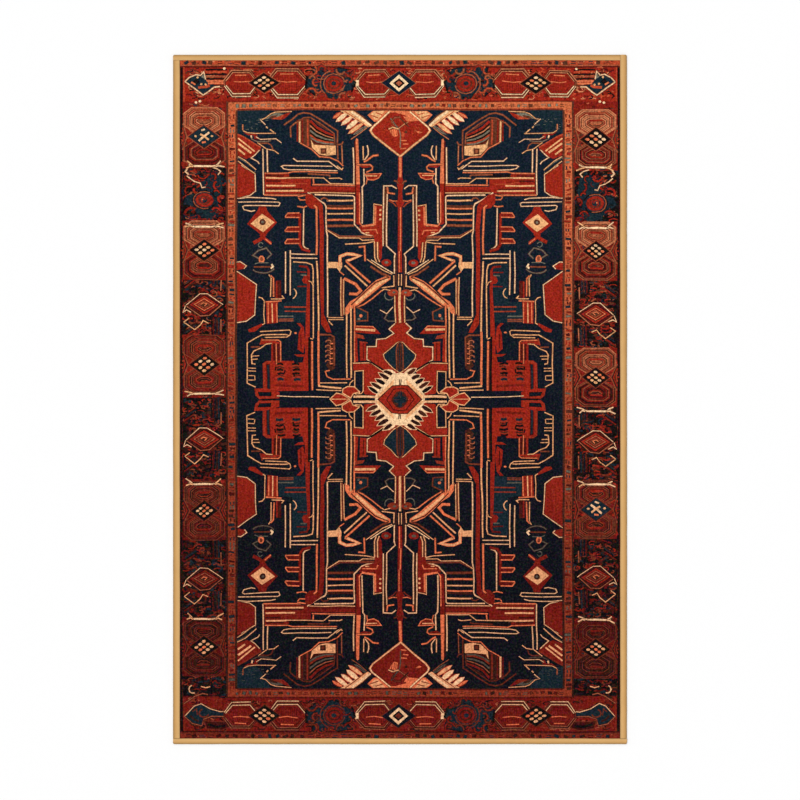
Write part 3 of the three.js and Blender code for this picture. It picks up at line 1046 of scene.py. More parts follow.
def dotted_diamond():
    """A red diamond round a pale one with a dot, on a small hourglass."""
    yarn("straw", 0.35, [(-57.1, 70.9), (-53.5, 71.2), (-45.5, 70.9), (-43.7, 70.5)])
    loop = [(-57, 69.6), (-43, 69.5), (-42.3, 69.1), (-42.7, 68.1), (-54.8, 68.4), (-55.5, 68)]
    yarn("straw", 0.35, loop + [(-55, 66.9), (-52.4, 66.3), (-51, 66.6)])
    fill("red", [
        (-53.8, 61.9), (-50, 66.6), (-49.6, 67.9), (-47.2, 67.9), (-46.6, 66.2),
        (-43.2, 62.3), (-46.8, 58.6), (-48.2, 57.4), (-49.8, 58.6),
    ])
    fill("peach", [(-52.6, 62), (-48.6, 65.4), (-44.1, 62.4), (-48.3, 58.9)])
    fill("umber", disc(-48.3, 62.4, 1.15))
    fill("sage", disc(-48.3, 62.4, 0.5, steps=6))
    line("red", 1.2, [(-47.4, 58.4), (-49.4, 56.4), (-51.8, 55.2)])
    line("red", 1.1, [(-49.2, 58.2), (-48, 56.8), (-45.5, 55)])
    line("coral", 0.4, [(-47.6, 56.6), (-45.4, 54.8)])
    line("sage", 0.3, arc(-49.2, 54.5, 0.9, 20, 320, 6))
    yarn("sage", 0.4, [
        (-49.2, 49.4), (-51.8, 50.8), (-50, 52.6), (-47.2, 53.4), (-45.4, 51.2), (-47, 49.7),
    ])
    fill("coral", disc(-48.9, 49.4, 1.1, 1.4))
    fill("rust", disc(-48.9, 49.6, 0.6, 0.8))
    eye = arc(-48.2, 46.5, 3.8, 200, 340, 6, radius_y=2)
    yarn("sage", 0.35, eye + [(-45.2, 47.4)])
    yarn("rust", 0.35, [(-51.5, 46.7), (-45.4, 46.7)])
    line("sage", 0.35, [(-51.2, 47.8), (-49.8, 48.3), (-46.4, 48.2)])
    line("cream", 0.6, [(-45.4, 47.7), (-44.8, 46.8), (-45.6, 46.1)])


def comb():
    """A red upright with three prongs."""
    yarn("straw", 0.5, [(-34.1, 68), (-34.1, 54.2), (-33.4, 53.3), (-32.1, 52.8)])
    yarn("red", 0.9, [(-35.4, 65.6), (-35.4, 54.6), (-34.4, 52.9), (-31.6, 52.2)], "maroon")
    for y in (65, 60, 55.7):
        fill("madder", [(-39.4, y + 0.8), (-35.4, y + 0.8), (-35.4, y - 0.8), (-40.5, y - 0.8), (-40.2, y)])
        prong = [(-35.6, y + 0.8), (-39.6, y + 0.8), (-40.4, y - 0.4), (-40.3, y - 0.8), (-35.6, y - 0.8)]
        line("coral", 0.4, prong)
    yarn("coral", 0.45, [(-36.4, 68.2), (-34.2, 67.8), (-32.8, 68.2)])
    yarn("coral", 0.4, [(-36, 71.2), (-35.4, 70.4), (-32.6, 70.3)])


def ladder():
    """Two rails with rungs, hung from the long band."""
    rungs = (
        (70.1, "peach", 0.6), (68.2, "umber", 0.5), (67.4, "coral", 0.6),
        (65.5, "peach", 0.5), (63.3, "coral", 0.7), (61.2, "rust", 0.8),
    )
    for y, dye, width in rungs:
        yarn(dye, width, [(-25.6, y), (-16.4, y)])
    yarn("rust", 0.35, [(-27.8, 70.4), (-26.8, 71), (-25.8, 70.8), (-25, 70.1)])
    yarn("straw", 0.5, [
        (-30, 72), (-16.6, 71.9), (-16.1, 71.4), (-16.2, 61.6),
        (-14.4, 59.8), (-13.4, 58.7), (-11.6, 58), (-9, 57.8),
    ])
    yarn("straw", 0.5, [
        (-32.6, 72.9), (-29, 70.4), (-26.4, 69), (-25.9, 68), (-25.9, 59.4), (-25.5, 57.6), (-25.6, 29),
    ])
    line("rust", 0.9, [(-25.6, 59.6), (-21.2, 57.3), (-9.2, 57.2)])
    yarn("peach", 0.35, [(-25.8, 59.8), (-21.4, 57), (-14.4, 56.9), (-13.2, 56.1), (-9, 56.1)])
    yarn("peach", 0.4, [(-19.4, 54.8), (-11.8, 55), (-8.8, 55.6)])


def main_upright():
    """The long red upright beside the ladder, with its orange partner lines."""
    fill("red", [
        (-33.4, 72.4), (-31.2, 72.2), (-28.2, 69.8), (-27.1, 68.2), (-26.7, 60),
        (-26.9, 30), (-25.4, 26.6), (-24.2, 23.4), (-25.8, 23.6), (-27.8, 26.6),
        (-28.2, 36), (-28.2, 60), (-28.6, 67), (-31.8, 67.4), (-33.4, 69.2),
    ])
    yarn("coral", 0.5, [(-33.2, 72), (-36.2, 71.6)])
    yarn("coral", 0.7, [(-30.4, 68.4), (-29.4, 67.6), (-29.3, 51)])
    yarn("peach", 0.6, [(-29.2, 48.8), (-29, 40), (-28.6, 24), (-28.7, 4.6), (-20.8, 3.9)])
    line("coral", 0.7, [(-28.7, 24), (-28.7, 5)])


# %% Motifs round the end pentagon
def feathered_wing():
    """A pale wing with five pointed feathers, red between them."""
    feathers = (((-20.6, 101.2), (-24, 99.1), 0.35, "coral"), ((-18.6, 101), (-22.8, 97.9), 0.8, "cream"),
                ((-16.8, 99.8), (-20.9, 96.7), 0.75, "cream"), ((-14.8, 98.6), (-19, 95.2), 0.9, "cream"),
                ((-13.2, 97.2), (-18.4, 93.5), 0.65, "peach"))
    for root, tip, half_width, _ in feathers:
        leaf("red", root, tip, half_width + 0.45)
    for root, tip, half_width, dye in feathers:
        leaf("coral", root, tip, half_width + 0.12)
        leaf(dye, root, tip, half_width - 0.08)
    fill("peach", [
        (-21.2, 101.8), (-16.2, 101.8), (-13, 99.4), (-10, 96.6),
        (-11.2, 95.9), (-15, 98.2), (-18, 100.2),
    ])
    line("cream", 0.7, [(-17, 101.5), (-13.6, 99), (-10.4, 96.6)])
    line("brick", 0.3, [(-19.4, 101.7), (-16.4, 99.6), (-12.2, 96.4)])
    line("umber", 0.4, [(-16.2, 101.9), (-12.8, 99.6), (-9.8, 96.9)])
    leaf("sage", (-12, 96.2), (-16.4, 93.2), 0.55)
    line("umber", 0.25, [(-12.6, 95.8), (-15.6, 93.8)])
    yarn("tan", 0.26, [(-17.2, 91.6), (-14, 93.8), (-11.6, 95.8)])


def end_pentagon():
    """Half of the red pentagon with its pale outline, at the end of the field."""
    fill("coral", [(-11.5, 100.2), (-9.6, 101.7), (0, 101.7), (0, 98), (-9.2, 98)])
    fill("peach", [(-10.6, 100.4), (-9.2, 101.6), (-5.2, 101.6), (-7.8, 98.6), (-9, 98.8)])
    line("brick", 0.35, [(-10.4, 100.2), (-7.6, 99.3)])
    line("brick", 0.35, [(-8.6, 101.1), (-6.2, 100.4)])
    fill("red", [(0, 101.2), (-3.2, 101.2), (-10, 95.4), (-10, 94.2), (0, 86)])
    yarn("peach", 0.62, [(-3.4, 101.6), (-9.8, 96), (-10.5, 94.8), (-9.4, 93.2), (0, 85.6)], "rust")
    line("cream", 0.3, [(-3.6, 101.4), (-9.8, 96), (-10.3, 94.8)])
    line("coral", 0.5, [(-3.2, 101.4), (0, 101.4)])


def pentagon_sprig():
    """A small brown plant with a fan-shaped flower, and flecks of orange round it."""
    for _ in range(60):
        x = hand.uniform(-6.8, 6.8)
        y = hand.uniform(88.4 + abs(x), 100.4 - 0.4 * abs(x))
        dye = hand.choice(("brick", "madder", "brick", "maroon", "rust"))
        line(dye, 0.28, [(x, y), (x + hand.uniform(0.3, 0.5), y)])
    fill("coral", [(-1.8, 101.2), (3.4, 101.2), (6.6, 98.2), (2.6, 98), (0.8, 100.2)])
    line("red", 0.5, [(-0.2, 100.4), (2.2, 99.8)])
    yarn("sage", 0.36, [(-3.2, 99.2), (-1.4, 96.8), (-0.3, 95.6)])
    yarn("sage", 0.36, [(-0.2, 95.4), (0.3, 93), (0.1, 88.6)], "rust")
    yarn("tan", 0.4, [(-0.4, 95.6), (1.6, 97), (3, 97.8)])
    yarn("rust", 0.36, [(0.4, 99.4), (-1.8, 99.4), (-2.8, 98), (-1.8, 96.8)])
    line("umber", 0.5, [(0.2, 99), (2.2, 97.2), (3.2, 96.2)])
    fill("coral", [(-3.6, 95), (-1, 95.6), (-0.6, 92.8), (-1.8, 92.4), (-2.8, 93.2)])
    for x in (-2.9, -2.1, -1.4):
        line("brick", 0.25, [(x, 95.2), (x + 0.2, 92.9)])
    yarn("peach", 0.5, [(-4, 95.4), (-2.4, 96), (-0.4, 95.4)])
    fill("brick", [(0.7, 94.4), (2, 93.8), (1.8, 92.4), (0.6, 92.6)])
    fill("umber", disc(2.3, 94.2, 0.55, steps=6))
    fill("coral", [(5.6, 94.6), (6.8, 94.6), (8, 94.2), (7, 93.8), (6.2, 94.2)])
    for x, low in ((0.4, 91), (1, 89.8), (0.2, 88.2)):
        line("coral", 0.4, [(x, low), (x + 2, low + 0.1)])


def uprights_beside_spine():
    """The orange post with hooks, and the red block with a foot."""
    fill("coral", [(-15.2, 92), (-14.6, 91.6), (-14.1, 76), (-15.6, 76), (-15.5, 91)])
    line("maroon", 0.5, [(-15.7, 91), (-15.7, 62)])
    fill("red", [(-15.5, 76), (-14.1, 76), (-14.2, 62.2), (-13.4, 61.2), (-15.4, 61.8)])
    line("coral", 0.45, [(-14.3, 73), (-14.3, 62.4), (-13.4, 61.2)])
    yarn("straw", 0.5, [(-16.4, 88.7), (-16.3, 76.2)])
    yarn("straw", 0.5, [(-12.7, 81.4), (-12.6, 76), (-13.3, 75), (-13.4, 62)])
    yarn("peach", 0.4, [(-12.9, 89.2), (-12.8, 84.4)])
    yarn("straw", 0.45, [(-11.5, 89.5), (-11.1, 88), (-11.2, 86.2), (-12.4, 84.4)])
    yarn("coral", 0.6, [(-12.6, 83.8), (-11.4, 84.4), (-9.6, 85.8), (-7.6, 86.1)])
    hook = [(-15.2, 82.8), (-10.4, 82.7), (-9.6, 82), (-9.8, 81), (-11.8, 80.2)]
    fill("red", [(-15, 82.8), (-10.4, 82.7), (-9.7, 82), (-13, 81.6)])
    yarn("coral", 0.5, hook)
    fill("red", [
        (-12.3, 79.6), (-6.6, 79.7), (-7.6, 78.2), (-9.2, 77.4), (-11.4, 77.7), (-11.8, 79),
    ], rim="coral", rim_width=0.35)
    line("peach", 0.35, [(-12, 79), (-8, 78.9)])
    yarn("coral", 0.35, [(-11.5, 77.8), (-11.9, 76)])
    block = [
        (-9.4, 68.4), (-6.6, 68.4), (-6.3, 50), (-7.4, 48), (-8.8, 55), (-9.2, 57.6),
        (-11.6, 58.2), (-13.6, 59), (-14.4, 60.8), (-13.4, 61.4), (-9.4, 61.4),
    ]
    fill("red", block)
    fill("red", [(-6.8, 68.2), (-5.9, 68), (-5.9, 54.8), (-6.6, 52)])
    yarn("peach", 0.3, [(-13.6, 61.3), (-9.3, 61.3), (-9.3, 68.8), (-8.6, 68.6), (-5.9, 68.1)])
    line("coral", 0.7, [(-8.7, 68), (-8.7, 61.8), (-13.4, 61)])
    for y in (66.6, 65, 63.4):
        fill("peach", disc(-6.9, y, 0.45, 0.4, steps=6))
    line("coral", 0.4, [(-13.2, 59.6), (-8.4, 59.7), (-7.8, 58.2)])
    line("peach", 0.4, [(-12.2, 58.7), (-10.8, 58.8)])
    for x in (-8.9, -7.9):
        yarn("peach", 0.45, [(x, 55.4), (x + 0.1, 50), (x + 0.7, 48.2)])
    yarn("coral", 0.6, [(-14.6, 53.8), (-12.4, 53.9), (-12.4, 48.8)])


def spine():
    """Half of the stem that runs down the middle of the field."""
    fill("red", [
        (0, 86), (-0.75, 85.2), (-0.75, 78), (-1.4, 76.4), (-0.7, 73.6),
        (-0.8, 70.4), (-1.6, 69.4), (-0.7, 67.6), (-0.75, 44.6), (0, 44.6),
    ])
    line("coral", 0.6, [(-0.15, 85.6), (-0.15, 78.2)])
    line("coral", 0.4, [(-0.2, 67.6), (-0.2, 44.8)])
    yarn("rust", 0.4, [(-0.8, 76), (-1.2, 76.8), (-2.3, 77.1)])
    yarn("straw", 0.45, [(-5.9, 54), (-5.9, 75.3), (-3, 75.4), (-1.4, 74.3)])
    yarn("straw", 0.45, [(-4.7, 72.6), (-4.7, 54), (-1.6, 51.3), (-2, 50), (-2, 44.2)])
    line("umber", 0.5, [(-5.3, 74.6), (-5.3, 54.6)])
    yarn("coral", 0.6, [(-4.7, 74.8), (-4.5, 72.8), (-2, 72.4)])
    yarn("coral", 0.35, [(-4, 70.3), (-2.6, 69.8), (-1, 69.9)])
    yarn("brick", 0.3, [(-4.2, 70), (-2.4, 69), (-1.2, 67.8)])
    fill("red", disc(-4.8, 48, 1.8, 1.3))
    fill("sage", disc(-4.8, 48.1, 0.8, 0.5, steps=6))
    line("umber", 0.4, [(-1.4, 51), (-1.4, 27.2)])
    yarn("peach", 0.4, [(-2.2, 43.6), (-2.1, 40), (-6.4, 39.4)])
    yarn("peach", 0.35, [(-0.5, 44), (-0.5, 40)])
    fill("brick", disc(-2.4, 37.6, 2, 1.3))
    line("sage", 0.35, arc(-3.6, 36.7, 1.7, 150, 330, 5))
    fill("sage", disc(-2, 37.7, 0.6, 0.4, steps=6))
    yarn("peach", 0.35, [(-6.6, 38.2), (-5.4, 38.9), (-3.4, 38.4)])
    fill("madder", [(-1.8, 37), (0, 37), (0, 26.8), (-1.6, 26.8)])
    yarn("peach", 0.45, [(-1.7, 36.6), (-1.6, 27)])
    line("peach", 0.4, [(-0.2, 39.4), (-0.2, 27)])
    yarn("straw", 0.35, [(-7, 31.5), (-4.6, 30.3), (-2.3, 32.6)])
    yarn("sage", 0.35, [(-4.6, 30), (-5.4, 28.6), (-4.2, 27.8), (-1.8, 27.7)])


# %% Motifs of the field's lower quarter
def hooked_star():
    """Thick pale arms that cross into a star round the middle of the rug."""
    fill("peach", [
        (-25.4, 48.4), (-20.6, 48.4), (-20.5, 46.8), (-21.4, 44.9), (-22.4, 46.2), (-25.4, 46.2),
    ])
    yarn("peach", 0.8, [
        (-21.3, 47), (-21.2, 50.4), (-18.8, 51.4), (-16.6, 51.3), (-14.2, 50.7), (-19.2, 48.7),
    ], "coral")
    yarn("coral", 0.7, [(-19.2, 48.8), (-10.6, 41)])
    yarn("peach", 0.6, [(-19.6, 47.2), (-11.6, 39.8)])
    yarn("coral", 0.4, [(-21.4, 45), (-19.8, 43.8)])
    yarn("coral", 1, [(-19.8, 42.6), (-15.6, 40.4), (-13.8, 38.2), (-15, 37), (-17.8, 37.1)])
    yarn("peach", 0.35, [(-20.8, 43), (-20.8, 29.4)])
    line("rust", 0.6, [(-20.3, 42.4), (-20.3, 29.4)])
    yarn("peach", 0.35, [(-19.8, 42.2), (-19.8, 30)])
    arm = [
        (-3.4, 43.4), (-3.4, 42.2), (-7, 39.8), (-10.2, 36.8),
        (-14.4, 33.4), (-16.4, 32.4), (-18.2, 30.2),
    ]
    arm += [
        (-19.4, 29.6), (-19.2, 32.2), (-17.6, 34.4), (-14.2, 36.4),
        (-11, 39.8), (-8.4, 41.9), (-5, 43.4),
    ]
    fill("coral", arm)
    line("peach", 1, [(-4.4, 42.4), (-8.2, 40.2), (-12.2, 36.6), (-15.6, 33.8)])
    line("umber", 0.4, [(-3.8, 43), (-8.6, 41.2), (-12.8, 37.4), (-17.2, 33.2)])
    line("umber", 0.3, [(-6.6, 39.8), (-10.2, 36.8), (-14.4, 33.4)])
    yarn("coral", 0.45, [(-6.4, 38.4), (-9.8, 35.6), (-13, 33.4), (-14.8, 32.6)])
    yarn("peach", 0.35, [(-11.8, 49.5), (-6, 45.3), (-2.8, 44)])
    yarn("cream", 0.35, [(-10.2, 49.2), (-7, 47), (-2.4, 44.3)])
    yarn("rust", 0.6, [(-10.4, 46.9), (-6.4, 44.2), (-4, 43.4)])
    for x, high in ((-18.8, 30.2), (-17.3, 32.4), (-16.1, 33)):
        dye = "coral" if x > -17 else "peach"
        yarn(dye, 0.55, [(x, high), (x, 13 if x > -17 else 7.6)])
    for y in (28.9, 28.2):
        yarn("peach", 0.3, [(-25.4, y), (-20, y)])
    yarn("peach", 0.4, [(-25.4, 27.8), (-23.8, 26)])


def lamp_and_prongs():
    """The small lantern box and the prongs beside the medallion."""
    fill("teal", [(-15.5, 32.2), (-11.6, 30.6), (-11.5, 27.9), (-15.4, 27.6)])
    yarn("rust", 0.35, [(-15.4, 32.6), (-11.4, 30.6), (-11.5, 27.8), (-15.4, 27.6)])
    fill("coral", disc(-13.9, 29.5, 0.6, steps=6))
    fill("sage", disc(-14.6, 28.4, 0.5, steps=6))
    fill("red", [(-16, 26), (-9.4, 25.9), (-6.8, 23.1), (-16, 23.6)])
    line("peach", 0.8, [(-15.8, 24.8), (-8.8, 24.5)])
    line("coral", 0.35, [(-16, 25.9), (-9.6, 25.8), (-8.6, 24.8)])
    fill("brick", [(-15.8, 23.2), (-13, 22.6), (-12.4, 21.4), (-15.8, 21.8)])
    fill("red", [(-16, 21.6), (-15.2, 22), (-14.9, 13.4), (-15.9, 13.2)])
    box("red", -14.2, -12, 13.6, 20.4)
    line("maroon", 0.35, [(-13, 20.2), (-13, 14.2)])
    line("brick", 0.4, [(-14.3, 20.4), (-11.4, 20)])


def medallion():
    """Half of the red medallion above the middle, with its navy oval."""
    edge = [(-1.9, 26.8), (-3.9, 25), (-2.2, 23.4), (-5, 21.5), (-8.2, 21.2), (-8.4, 18.7), (-11.6, 18.6)]
    edge += [(-11.7, 14), (-7.6, 11.4), (-5.2, 9.8)]
    fill("red", [(0, 26.8)] + edge + [(0, 8.4)])
    yarn("straw", 0.4, edge)
    oval = [
        (0, 20.4), (-1.2, 20), (-3.4, 17.8), (-5.8, 15.8),
        (-5.4, 14.2), (-3.6, 12), (-2.2, 10.6), (0, 9.2),
    ]
    fill("teal", oval)
    yarn("peach", 0.3, oval)
    yarn("rust", 0.35, [(0, 20.4), (-0.9, 19.4), (-1.2, 17), (-1.1, 10)])
    line("umber", 0.5, [(-0.4, 19.4), (-0.4, 10)])
    fill("red", [
        (-16.6, 12.7), (-10.4, 12.7), (-6, 9.8), (-4, 4), (-8, 1.4),
        (-12.4, 1.8), (-13, 3), (-13, 9.9), (-16.6, 10.1),
    ])
    yarn("peach", 0.35, [(-16.8, 12.8), (-10.4, 12.8), (-5.6, 9.6)])
    line("ink", 0.6, [(-11.6, 13.4), (-9.8, 12.7), (-5.4, 10)])
    fill("navy", [(-15.9, 9.8), (-13.3, 9.8), (-13.2, 3), (-14, 2.4), (-15.9, 4.6)])
    yarn("peach", 0.35, [
        (-14.2, 2.2), (-16, 4.4), (-16.1, 9.9), (-13.1, 10), (-12.9, 3), (-13.6, 2), (-15.8, 1.9),
    ])


def sun_diamond():
    """Quarter of the toothed pale diamond and the red diamond in the middle of the rug."""
    for step in range(5):
        share = (step + 0.3) / 5
        x, y = -2.2 - 6.4 * share, 9 - 8 * share
        reach = 3.8 + 0.5 * hand.uniform(-1, 1)
        slope = 0.58 + 0.12 * hand.uniform(-1, 1)
        tip = (x - reach, y + reach * slope)
        leaf("cream", (x + 0.9, y + 0.7), (x - reach * 0.55, y + 1 + reach * slope * 0.6), 0.42)
        leaf(hand.choice(("umber", "ink", "shadow")), (x + 0.3, y), tip, 0.8, rim="straw", rim_width=0.22)
    fill("cream", [(0, 9.2), (-2.6, 9), (-8.8, 1.2), (-8.8, 0), (0, 0)])
    fill("peach", [(-2, 7.2), (-8.2, 1.2), (-7.6, 0.2), (-2.4, 5.2)])
    box("peach", -16.3, -8, 0.5, 1.3)
    line("straw", 0.35, [(-16.2, 1), (-8, 1)])
    box("ink", -16, -10.2, 0, 0.4)
    fill("umber", [(0, 5.2), (-2.8, 5), (-8, 0), (0, 0)])
    fill("red", [(0, 4.9), (-2.6, 4.7), (-7.4, 0), (0, 0)])
    line("maroon", 0.35, [(0, 3.9), (-2.2, 3.6), (-4.8, 0)])
    fill("umber", [(0, 3.1), (-1.3, 2.6), (-2.9, 0.4), (-2.7, 0), (0, 0)])
    fill("teal", [(0, 2.7), (-0.8, 2.4), (-0.6, 1.4), (-2, 0.9), (-2.3, 0), (0, 0)])
    line("ink", 0.35, [(-0.35, 7), (-0.2, 5.2)])


def palmette():
    """Upper petals of the three-petalled red palmette, and the bar that leads to it."""
    box("navy", -44, -16.4, 0, 2.6)
    fill("red", [(-24.8, 0), (-22.6, 2.2), (-20.6, 1.8), (-17.6, 0)], rim="peach", rim_width=0.35)
    upper = [(-20.4, 2.2), (-20.2, 3.6), (-18.6, 4.5), (-16.2, 4.4), (-14.2, 2.7), (-16.5, 2), (-17.3, 0.4)]
    fill("red", upper, rim="peach", rim_width=0.35)
    yarn("peach", 0.35, [(-18, 4.8), (-17.6, 5.8), (-16.6, 6.8)])


def nested_frames():
    """The dark frames beside the hatched block, with a brown ribbon inside."""
    yarn("coral", 0.7, [(-31, 20.6), (-31, 3.2)])
    line("maroon", 0.35, [(-31.7, 20.6), (-31.7, 3.2)])
    yarn("peach", 0.35, [(-28.2, 5.8), (-18.8, 5.8)])
    yarn("peach", 0.35, [(-29.6, 3.3), (-20.8, 3.1)])
    fill("umber", [
        (-25.4, 21.8), (-23, 21.8), (-22.9, 11), (-24.4, 10.2), (-26, 12), (-24.8, 14), (-25.6, 17),
    ])
    for step in range(5):
        y = 20.2 - 1.7 * step
        yarn("tan", 0.34, arc(-25.2, y, 0.9, -60, 200, 5, radius_y=0.6))
        line("ink", 0.3, arc(-24.2, y - 0.8, 0.5, 120, 330, 4))
        line("coral", 0.36, [(-22.8, y - 0.5), (-24.6, y - 0.7)])
    yarn("rust", 0.5, [(-28.2, 22.8), (-24.4, 22.6), (-23.2, 21.8), (-23.2, 12)])
    yarn("coral", 0.45, [(-24.6, 10.4), (-26.2, 10), (-25.6, 8.2), (-23.6, 7.2), (-17.4, 7.2)])


def inner_bracket():
    """The red bracket with rungs on a teal patch."""
    fill("teal", [(-38, 48), (-33, 47.6), (-32.4, 27), (-42.8, 27.4), (-42.8, 34), (-38, 34.4)])
    yarn("peach", 0.45, [(-37.6, 48.3), (-33, 48.1), (-31, 47.4), (-30.6, 45.6), (-30.6, 21.6)])
    line("madder", 0.7, [(-35.6, 46.9), (-32.8, 46.6), (-32.2, 45.4)])
    fill("red", [
        (-32.6, 46.4), (-31.8, 45.6), (-31.8, 24), (-32.2, 3.2), (-33.8, 3.2), (-33.4, 24), (-32.9, 38),
    ])
    rungs = (
        (44.8, -36.4, "madder"), (43.7, -35.2, "sage"), (39.8, -36.2, "madder"), (32.6, -40.8, "brick"),
        (31, -40.6, "brick"), (29.3, -43, "sage"), (28.2, -42.8, "rust"), (27.6, -42.8, "rust"),
    )
    for y, left, dye in rungs:
        right = -33 if y > 30 else -37.6
        line(dye, 0.45, [(left, y), (right, y)])
    fill("red", [(-34.6, 41.8), (-34, 43.4), (-32.6, 43.6), (-32.8, 40.6), (-34, 40.8)])
    yarn("peach", 0.3, [(-32.3, 41.7), (-31.2, 41.2), (-30.8, 40.2)])
    line("peach", 0.35, arc(-38.4, 37.4, 1.9, 60, -70, 6))
    fill("red", [
        (-36.4, 26.8), (-35.2, 26.9), (-34, 25.4), (-33.4, 20),
        (-34.2, 16.4), (-36.2, 17.8), (-35.8, 23.4), (-34.9, 25.2),
    ])
    line("maroon", 0.4, [(-35, 23), (-35, 18)])
    fill("red", [(-37.4, 16), (-33.8, 15.9), (-33.8, 15), (-36, 15.1)])
    fill("coral", disc(-37, 23.5, 0.5, 0.35, steps=6))
    yarn("peach", 0.3, [(-32.1, 21.7), (-30.7, 21.3)])


def hatched_block():
    """The red block with rows of dark hatching, and its hooked arm."""
    fill("red", [
        (-48.4, 3), (-48.4, 12.6), (-47, 13.6), (-37.6, 13.6), (-37.2, 12.8),
        (-34.4, 13), (-33.8, 16), (-32.4, 16), (-32.3, 3),
    ])
    fill("teal", [(-46.9, 3.6), (-46.9, 12.2), (-45.9, 12.4), (-45.9, 3.6)])
    line("maroon", 0.35, [(-46.9, 3.6), (-46.9, 12.2), (-45.9, 12.4), (-45.9, 3.6)])
    rows = (
        (12.5, "ink", 0.7), (11.4, "umber", 0.5), (10.5, "ink", 0.8),
        (9.1, "ink", 0.7), (8.4, "umber", 0.4), (7, "teal", 0.9),
    )
    for y, dye, width in rows:
        for left, right in ((-43.8, -40.4), (-38.2, -35)):
            start = left + hand.uniform(0, 0.8)
            stop = right - hand.uniform(0, 0.8)
            end = (stop, y + hand.uniform(-0.3, 0.1))
            line(dye, width, [(start, y - 0.1), (start + 1.2, y + 0.2), end])
            line("brick", 0.3, [(start - 0.4, y - 0.65), (stop + 0.5, y - 0.55)])
    for x, y in ((-44, 10.2), (-40.8, 9.2), (-37.6, 8)):
        line("ink", 0.5, [(x, y), (x + 0.3, y + 1.4)])
    line("madder", 0.8, [(-44, 5), (-34, 4.6)])
    line("ink", 0.7, [(-32.1, 22), (-32.1, 3)])
    line("brick", 0.4, [(-48, 4), (-48, 12.4), (-46.8, 13.3), (-44.8, 13.4)])
    fill("red", [(-51.4, 3.9), (-47, 3.9), (-42.6, 2.6), (-42.6, 0.4), (-49.6, 0.2), (-51, 1.4)])
    fill("ink", [(-50.2, 2.7), (-45.4, 2.6), (-45.4, 1.1), (-49.6, 1.2)])
    fill("navy", [(-49.8, 2.5), (-45.8, 2.4), (-45.8, 1.3), (-49.4, 1.4)])
    line("brick", 0.3, [(-50.8, 3.8), (-50.8, 1.6), (-49.6, 0.7), (-43.2, 0.7)])
    fill("ink", [(-48.6, 0.35), (-44, 0.3), (-44, 0), (-48.6, 0)])
    fill("red", [(-45.2, 20.2), (-42.2, 20.2), (-42.2, 13.2), (-45.3, 13.2)])
    fill("maroon", [(-44.6, 19.6), (-42.4, 19.6), (-42.4, 13.6), (-44.6, 13.6)])
    fill("red", [(-49.6, 19.2), (-48.6, 21), (-43, 20.6), (-44.4, 19.6), (-47.4, 19.4)])
    line("brick", 0.4, [(-49.4, 19.2), (-48.6, 21.6)])
    yarn("coral", 0.4, [(-48.5, 20.9), (-42.8, 20.8), (-42, 20.2), (-42, 13.4)])
    yarn("coral", 0.4, [(-43.5, 19.6), (-43.5, 12.4)])


def toothed_bracket():
    """The pale bracket with teeth, and the long loop over it."""
    yarn("peach", 0.4, [
        (-51, 4.4), (-53.9, 5.8), (-53.8, 19.8), (-51, 21.6),
        (-48.8, 22.8), (-40.6, 22.9), (-39.4, 22.7),
    ])
    for y, right in ((11, -50.8), (10, -50.8), (8.4, -51.4), (6.9, -51.4)):
        yarn("peach", 0.3, [(-53.6, y), (right, y)])
    yarn("peach", 0.3, [(-51.3, 8.4), (-51.2, 6.9)])
    yarn("peach", 0.4, [
        (-45, 19.6), (-47.2, 19.4), (-49, 18), (-51.6, 16.9), (-52.4, 15.6), (-52.2, 12.6), (-51, 12.4),
    ])
    for y in (15.2, 14.1):
        yarn("peach", 0.3, [(-52.2, y), (-50 + 0.5 * (y > 15), y)])
    yarn("rust", 0.4, [(-52.6, 18.4), (-49.4, 18.4)])
    yarn("peach", 0.35, [
        (-49.3, 24), (-45, 24.2), (-39, 24.4), (-38.5, 23.9), (-38.8, 22.8), (-40, 22), (-47.6, 21.8),
    ])


def posts_and_trapezoid():
    """The broken post, the red trapezoid below it and the bracket beside them."""
    yarn("peach", 0.4, [(-46.3, 44), (-45.5, 42.8), (-45.6, 36.2)])
    yarn("coral", 0.55, [(-45.6, 43.6), (-44.7, 42.6), (-44.5, 36.2)])
    box("maroon", -43.8, -41.9, 36, 41.8)
    line("red", 0.6, [(-43.5, 41.6), (-43.5, 35.6), (-41.6, 35.5)])
    line("umber", 0.35, [(-42.6, 40.6), (-42.6, 37)])
    yarn("peach", 0.4, [(-45.4, 35.4), (-42, 35.4), (-41, 35.7), (-41.7, 36.6)])
    fill("red", [(-47.2, 34.3), (-42.9, 34.3), (-43.4, 27), (-46.8, 26.7)])
    for x in (-46.4, -45, -43.4):
        line("coral" if x != -45 else "peach", 0.4, [(x, 34), (x + 0.1, 27)])
    line("coral", 0.45, [(-47.4, 34.4), (-41.7, 34.7)])
    yarn("peach", 0.35, [
        (-49.8, 36), (-48.6, 35.7), (-47.8, 34.7), (-47.9, 30),
        (-47.6, 26.9), (-49.4, 25.8), (-51, 24.4),
    ])
    fill("red", [(-48.6, 26.9), (-53.6, 24.6), (-53.2, 23.7), (-51.2, 23.9), (-48.4, 26.2)])


